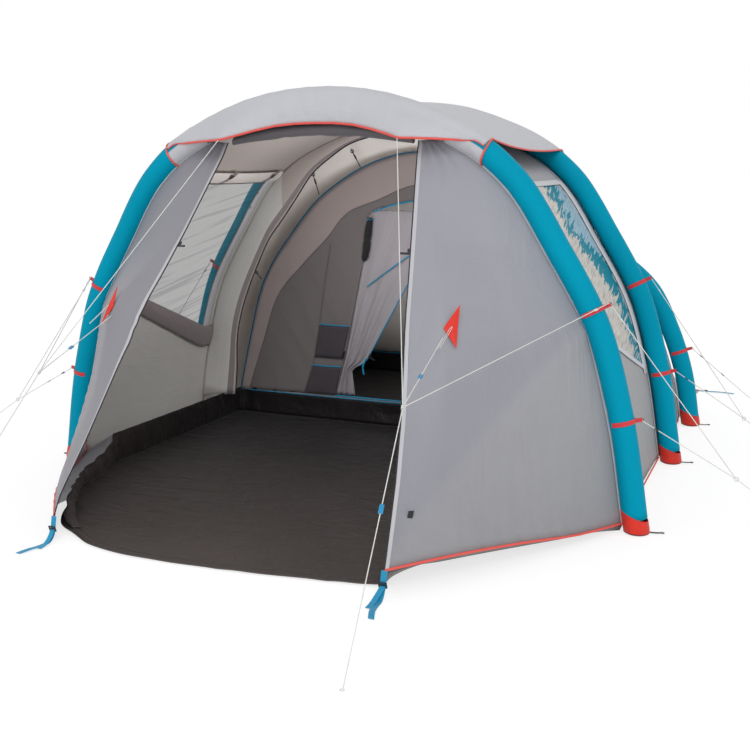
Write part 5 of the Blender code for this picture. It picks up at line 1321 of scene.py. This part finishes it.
outer, seam, door = (along_loop(half, WALL_COUNT) for half in (OUTLINE, SEAM_LINE, DOORWAY))
wall = upright(blend(outer, seam, 7) + blend(seam, door, 22, 1), Y_WALL)
push = 0.006 * wobble(wall, (2.6, 1, 1.4), 91) + 0.004 * folds(wall, (1.0, 0, 0.6), 0.15, 92)
wall[..., 1] -= clip(push * sin(pi * linspace(0, 1, len(wall)))[:, None], 0.0, 0.012)
cell = np.ones((len(wall) - 1, WALL_COUNT - 1), int)
cell[:6] = 0
cloth("bedroom_front_cloth", wall, ["band", "wall"], (0, -20.0, 0.8), 0.0010, cell_mat=cell,
      replaces=("bedroom_front_wall",))
strip = array([[(x, Y_WALL, z) for x in linspace(-1.20, 1.20, 50)] for z in (0.1515, 0.158, 0.1655)])
cloth("bedroom_sill_cloth", strip, ["band"], (0, -20.0, 0.1), replaces=("bedroom_front_wall",), declare=False)
TOP_ZIP = ((-0.300, 1.335), (-0.225, 1.362), (-0.12, 1.388), (0.0, 1.405), (0.12, 1.388), (0.225, 1.362),
           (0.30, 1.335))
PANEL_SEAM = ((0.590, 1.135), (0.635, 0.880), (0.673, 0.624), (0.715, 0.400), (0.770, 0.160))
POCKETS = (((0.464, 0.622), (0.673, 0.624), (0.713, 0.409), (0.515, 0.409)),
           ((0.523, 0.357), (0.728, 0.355), (0.790, 0.168), (0.566, 0.168)))
line_piece("bedroom_outline_piping", upright(outer, Y_WALL - 0.003), 0.0045, "blue_dark")
line_piece("bedroom_band_seam", wall[6] + (0, -0.002, 0), 0.0035, "flange")
line_piece("bedroom_doorway_seam", wall[-1] + (0, -0.002, 0), 0.0030, "seam")
sill_line = [(x, Y_WALL - 0.004, 0.166) for x in linspace(-0.57, 0.57, 24)]
line_piece("bedroom_sill_piping", sill_line, 0.0042, "blue")
line_piece("bedroom_door_top_zip", smooth_path(upright(TOP_ZIP, Y_WALL - 0.010), 4), 0.0045, "blue")
for side, word in SIDES:
    panel = mirror(upright(PANEL_SEAM, Y_WALL - 0.011), side)
    line_piece(f"bedroom_panel_seam_{word}", smooth_path(panel, 4), 0.0020, "seam")
    for k, quad in enumerate(POCKETS):
        a, b, c, d = (array(p) for p in quad)
        grid = upright([blend(p, q, 12) for p, q in zip(blend(a, d, 10), blend(b, c, 10))], Y_WALL - 0.0135)
        fall = linspace(0, 1, 10)[:, None]
        puff = sin(pi * linspace(0, 1, 12)) * (0.25 + 0.75 * (1 - fall) ** 0.5) * (1 - fall ** 8)
        grid[..., 1] -= 0.012 * puff
        grid = mirror(grid, side)
        cloth(f"pocket_{k}_{word}", grid, ["pocket"], (0, -20, 0.4), 0.0010)
        line_piece(f"pocket_trim_{k}_{word}", grid[0], 0.0042, "blue")

# Cords that hang the bedroom from the fly, on the left: upper end, then x and z of the lower end
HANGERS = (((-1.034, 1.165, 0.960), (-1.088, 0.888)), ((-0.628, 1.165, 1.575), (-0.668, 1.424)),
           ((-0.372, 1.165, 1.706), (-0.385, 1.592)))
for k, (high, (x, z)) in enumerate(HANGERS):
    for side, word in SIDES:
        top, low = mirror(high, -side), mirror((x, Y_WALL - 0.003, z), -side)
        cord = [between(top, low, share) for share in (0.0, 0.33, 0.66, 0.92)]
        line_piece(f"hanger_cord_{k}_{word}", cord, 0.0030, "black_web")
        step = unit(low - top)
        axes = (step, (0, 1, 0), np.cross(step, (0, 1, 0)))
        rounded_box(f"hanger_toggle_{k}_{word}", between(top, low, 0.40), axes, (0.050, 0.008, 0.012),
                    "black_plastic", 0.002)
        ring_piece(f"hanger_eye_{k}_{word}", between(top, low, 0.12), (0, 1, 0), 0.009, 0.0026,
                   "black_plastic")

# Canopy: half shares of its front and middle section, then places across its rear edge
CANOPY_FRONT = ((1.0, 0.0), (0.937, 0.22), (0.843, 0.48), (0.685, 0.675), (0.52, 0.825), (0.30, 0.94),
                (0.0, 1.0))
CANOPY_MIDDLE = ((1.0, 0.0), (0.937, 0.26), (0.843, 0.53), (0.685, 0.70), (0.52, 0.84), (0.30, 0.95),
                 (0.0, 1.0))
CANOPY_REAR = (-1.15, -0.989, -0.828, -0.644, -0.46, -0.253, 0.0, 0.253, 0.46, 0.644, 0.828, 0.989, 1.15)
CANOPY_FOOT, CANOPY_COUNT = 0.152, 81


def canopy_row(shares, half, crown, y):
    pts = [(-x * half, CANOPY_FOOT + z * (crown - CANOPY_FOOT)) for x, z in shares]
    return upright(along_loop(pts, CANOPY_COUNT), y)


front = canopy_row(CANOPY_FRONT, 1.268, 1.690, 1.349)
middle = canopy_row(CANOPY_MIDDLE, 1.212, 1.190, YR)
xs = interp(linspace(0, 1, CANOPY_COUNT), linspace(0, 1, 13), CANOPY_REAR) * 0.998
back = stack([xs, full(CANOPY_COUNT, 2.998), full(CANOPY_COUNT, 0.153)], -1)
canopy = array(blend(front, middle, 24) + blend(middle, back, 22, 1))
slack = bay(np.r_[linspace(0, 1, 24), linspace(0, 1, 22)[1:]][:, None])
slack = slack * sin(linspace(0, pi, CANOPY_COUNT)) ** 0.5
depth = slack * (-0.022 + 0.008 * wobble(canopy, (3, 3, 3), 95))
canopy = canopy + upward_normals(canopy) * depth[..., None]
cloth("bedroom_canopy_cloth", canopy, ["cream"], (0, 2.0, 30.0), 0.0010, inner=["cream"],
      replaces=("bedroom_canopy",))

# Middle partition flange inside the fly: its inner edge on the left, from the foot to the crown
FLANGE = ((-1.200, 0.157), (-1.186, 0.300), (-1.168, 0.578), (-1.137, 0.703), (-1.101, 0.807),
          (-1.003, 1.024), (-0.925, 1.171), (-0.845, 1.271), (-0.745, 1.402), (-0.612, 1.575),
          (-0.498, 1.661), (-0.399, 1.724), (-0.200, 1.782), (0.0, 1.800))
outer = fly(linspace(0.25, CROWN, 60), 1.166, OFF - 0.004)
inner = upright(arc_points(smooth_path(FLANGE, 8), 60), 1.160)
rows = [row - (0, 0.010 * sin(pi * t), 0) for row, t in zip(blend(outer, inner, 13), linspace(0, 1, 13))]
flange = array([np.concatenate([row, mirror(row, -1)[::-1][1:]]) for row in rows])
cell = zeros((12, flange.shape[1] - 1), int)
cell[:] = np.where(flange[0, :-1, 2] > 1.56, 2, 0)
cell[9:11] = 1
cell[11:] = 2
cloth("partition_flange_cloth", flange, ["pale", "flap", "taupe"], (0, -20, 0.9), 0.0010, cell_mat=cell)
line_piece("partition_flange_edge", flange[-1] + (0, -0.002, 0), 0.0040, "zip")


# Bedroom door

DOOR_TOP, DOOR_FOLDS = 1.345, 3.5


def door_drape():
    """Door cloth drawn to the left, its zip edge straight in the middle, gathered below."""
    doorway_z, doorway_x = array(DOORWAY)[:, 1], array(DOORWAY)[:, 0]
    s = linspace(0, 1, 72)
    grid = []
    for z in linspace(DOOR_TOP, 0.175, 60):
        left = interp(z, doorway_z, doorway_x) + 0.003
        right = interp(z, (0.18, 0.34, 0.40, 1.01, DOOR_TOP), (-0.435, -0.455, -0.36, -0.02, 0.20))
        depth = (DOOR_TOP - z) / 1.17
        wave = sin(2 * pi * DOOR_FOLDS * s + 1.4 * depth) * sin(pi * s) ** 0.5
        x = left + (right - left) * (s + 0.02 * sin(2 * pi * DOOR_FOLDS * s) * depth)
        grid.append(stack([x, Y_WALL + 0.004 + (0.002 + 0.017 * depth ** 2) * wave, full(72, z)], -1))
    return array(grid)


drape = door_drape()
cloth("bedroom_door_cloth", drape, ["door"], (0, -20.0, 0.9), 0.0010, replaces=("bedroom_door",))
line_piece("bedroom_door_zip_edge", (drape[:, -1] + (0.002, -0.002, 0))[:50], 0.0040, "blue")
cross = array([(-0.339, -0.020, 0.878), (-0.23, -0.022, 0.958), (-0.12, -0.020, 1.036),
               (-0.030, -0.014, 1.098)])
line_piece("bedroom_door_cross_zip", smooth_path(cross + (0, Y_WALL, 0), 5), 0.0042, "blue")
tail = array([(-0.352, -0.012, 0.42), (-0.372, -0.016, 0.37), (-0.366, -0.014, 0.32)])
ribbon("bedroom_zip_tail", smooth_path(tail + (0, Y_WALL, 0), 4), (1, 0, 0), 0.010, "blue", 0.0012)


def bundle_ring(t, radius, flat, fold=1.0):
    """Ring round the rolled mesh door at a share of its length from the top."""
    a = ring_angles(20)
    return stack([-0.312 - 0.042 * t + cos(a) * radius * fold, Y_WALL - 0.030 + sin(a) * radius * fold * flat,
                  full(20, 1.300 - 0.27 * t)], -1)


rings = []
for t in linspace(0, 1, 26):
    radius = 0.0235 * sin(pi * min(1, max(0.02, t))) ** 0.28 * (1 - 0.22 * bell(t - 0.5, 0.05))
    rings.append(bundle_ring(t, radius, 0.8, 1 + 0.13 * cos(5 * ring_angles(20) + 6 * t)))
capped_tube("door_mesh_bundle", array(rings), "zip", flip=True)
for k, z in enumerate((1.290, 1.17, 1.060)):
    line_piece(f"door_bundle_tie_{k}", bundle_ring((1.300 - z) / 0.27, 0.0245, 0.0200 / 0.0245), 0.0026,
               "blue" if k == 0 else "black_web", closed=True)
rounded_box("door_waist_toggle", (-0.500, Y_WALL - 0.026, 0.440), ((0.3, 0, 1), (1, 0, -0.3), (0, 1, 0)),
            (0.05, 0.012, 0.008), "black_plastic", 0.002)


# Seams, hems, peg loops and corner straps

FRONT_STRAP = ((0.778, -1.083, 0.108), (0.777, -1.092, 0.070), (0.776, -1.105, 0.030), (0.777, -1.128, 0.008),
               (0.780, -1.180, 0.0045), (0.790, -1.230, 0.0075), (0.808, -1.281, 0.0040))
FRONT_TAIL = ((0.778, -1.098, 0.052), (0.770, -1.125, 0.030), (0.764, -1.165, 0.010), (0.762, -1.205, 0.005))
REAR_STRAP = ((1.5005, 3.181, 0.0040), (1.56, 3.178, 0.0045), (1.64, 3.170, 0.0075), (1.7405, 3.170, 0.0040))


def buckle(name, centre, axes):
    """Ladder buckle with two slots."""
    rounded_box(name, centre, axes, (0.036, 0.026, 0.006), "black_plastic", 0.0015,
                [(-0.013, 0.013, -0.009, -0.003), (-0.013, 0.013, 0.003, 0.009)])


for side, word in SIDES:
    for k, y in enumerate((0.062, YM - 0.062, YM + 0.062, YR - 0.062)):
        low = float(u_at(HEM + 0.01, y, OFF + 0 * y, side))
        path = fly(linspace(low, 4.5 if side < 0 else 11.5, 70), y, OFF + 0.0016)
        ribbon(f"beam_seam_{k}_{word}", path, (0, 1, 0), 0.012, "tape", 0.0010)
    for room, start, end, count in (("living", 0.06, YM - 0.05, 30), ("bedroom", YM + 0.06, YR - 0.05, 24)):
        ys = linspace(start, end, count)
        hem = fly(u_at(HEM, ys, OFF, side), ys, OFF + 0.001)
        line_piece(f"{room}_hem_piping_{word}", hem, 0.0045, "piping")
    for k, (foot_x, y) in enumerate(((MAIN_HALF, 0.0), (MAIN_HALF, YM), (REAR_HALF, YR))):
        peg = array([(side * (foot_x + 0.050), y + 0.012, 0.006), (side * (foot_x + 0.075), y + 0.020, 0.004),
                     (side * (foot_x + 0.098), y + 0.028, 0.004)])
        ribbon(f"peg_loop_{k}_{word}", smooth_path(peg, 4), (0, 1, 0), 0.016, "black_web", 0.0016)
        ring_piece(f"peg_eye_{k}_{word}", peg[-1] + (side * 0.008, 0.003, 0.0), (0, 0, 1), 0.008, 0.002,
                   "black_plastic")
    ribbon(f"front_strap_web_{word}", smooth_path(mirror(FRONT_STRAP, side), 6), (1, 0, 0), 0.025,
           "blue_web", 0.0018, (f"front_corner_strap_{word}",))
    ribbon(f"front_strap_tail_{word}", smooth_path(mirror(FRONT_TAIL, side), 6), (1, 0, 0), 0.022,
           "blue_web", 0.0016)
    buckle(f"front_strap_buckle_{word}", mirror((0.777, -1.099, 0.056), side),
           ((1, 0, 0), (0, -0.3, 1), (0, 1, 0.3)))
    ribbon(f"rear_strap_web_{word}", smooth_path(mirror(REAR_STRAP, side), 8), (0, 1, 0), 0.025,
           "blue_web", 0.0018, (f"rear_corner_strap_{word}",))
    buckle(f"rear_strap_buckle_{word}", mirror((1.545, 3.179, 0.0075), side),
           ((0, 1, 0), (1, 0, 0), (0, 0, 1)))


# Moulded pieces that the frame carries

VALVES = [f"{beam}_{part}" for beam in ("front", "middle", "rear") for part in ("valve", "valve_cap")]
PAINTED = {"red_plastic": VALVES,
           "black_plastic": ["door_zip_slider_left", "door_zip_slider_right", "bedroom_zip_slider"],
           "blue_plastic": ["guy_tensioner_left", "guy_tensioner_right"]}
for mat, names in PAINTED.items():
    for name in names:
        obj = bpy.data.objects[name]
        if not obj.material_slots:
            obj.data.materials.append(None)
        for slot in obj.material_slots:
            slot.material = MATERIALS[mat][1]


# Studio: floor, background and lamps

def directly_seen(tree):
    """1 for what the camera, a gloss or clear film shows, and 0 for light on other surfaces."""
    camera_ray, glossy_ray, through_film = (node(tree, "LightPath", {}, f"Is {kind} Ray")
                                            for kind in ("Camera", "Glossy", "Transmission"))
    return maths(tree, "MAXIMUM", maths(tree, "MAXIMUM", camera_ray, glossy_ray), through_film)


def lamp(name, kind, energy, place=(0, 0, 0), way=None, **settings):
    data = bpy.data.lights.new(name, kind)
    data.energy = energy
    for key, value in settings.items():
        setattr(data, key, value)
    obj = add_object(name, data)
    obj.location = place
    if way:
        obj.rotation_euler = Vector(way).to_track_quat("-Z", "Y").to_euler()
    return obj


FLOOR_SIZE = 40.0
FILL_PLACE, FILL_TARGET = (1.2, -6.5, 2.2), (-0.2, 0.3, 0.6)
floor_mesh = bpy.data.meshes.new("studio_floor")
corners = [(x * FLOOR_SIZE, y * FLOOR_SIZE, 0) for x, y in ((-1, -1), (1, -1), (1, 1), (-1, 1))]
floor_mesh.from_pydata(corners, [], [(0, 1, 2, 3)])
mat, tree, shader = new_material("studio_white")
feed(tree, shader, {"Base Color": (0.93, 0.93, 0.93, 1.0), "Roughness": 0.9, "Specular IOR Level": 0.0})
amount = maths(tree, "MULTIPLY", directly_seen(tree), 0.62)
glow = node(tree, "Emission", {"Strength": 1.16})
feed(tree, tree.nodes["Material Output"],
     {"Surface": node(tree, "MixShader", {"Fac": amount, 1: shader.outputs["BSDF"], 2: glow})})
floor_mesh.materials.append(mat)
studio_floor = add_object("studio_floor", floor_mesh)
studio_floor.location = (0, 0, -0.0008)

world = bpy.data.worlds.new("studio_world")
bpy.context.scene.world = world
world.use_nodes = True
tree = world.node_tree
feed(tree, tree.nodes["Background"], {"Color": (1.0, 1.0, 1.0, 1.0),
                                      "Strength": ramp(tree, directly_seen(tree), 0.0, 1.0, 0.68, 1.0)})
lamp("key", "SUN", 0.75, way=(-0.40, 0.72, -0.72), angle=radians(30))
lamp("porch_fill", "AREA", 50.0, FILL_PLACE, Vector(FILL_TARGET) - Vector(FILL_PLACE), size=3.0)
# Daylight that the cloth lets through, one soft lamp in each room
for name, place, energy, size in (("living_room_light", (0.0, 0.50, 1.10), 19.0, 0.35),
                                  ("bedroom_light", (0.1, 1.95, 0.60), 6.0, 0.20)):
    room_lamp = lamp(name, "POINT", energy, row_frame(place), shadow_soft_size=size)
    room_lamp.visible_camera = False
    room_lamp.visible_glossy = False

bpy.context.scene.view_settings.view_transform = "Standard"
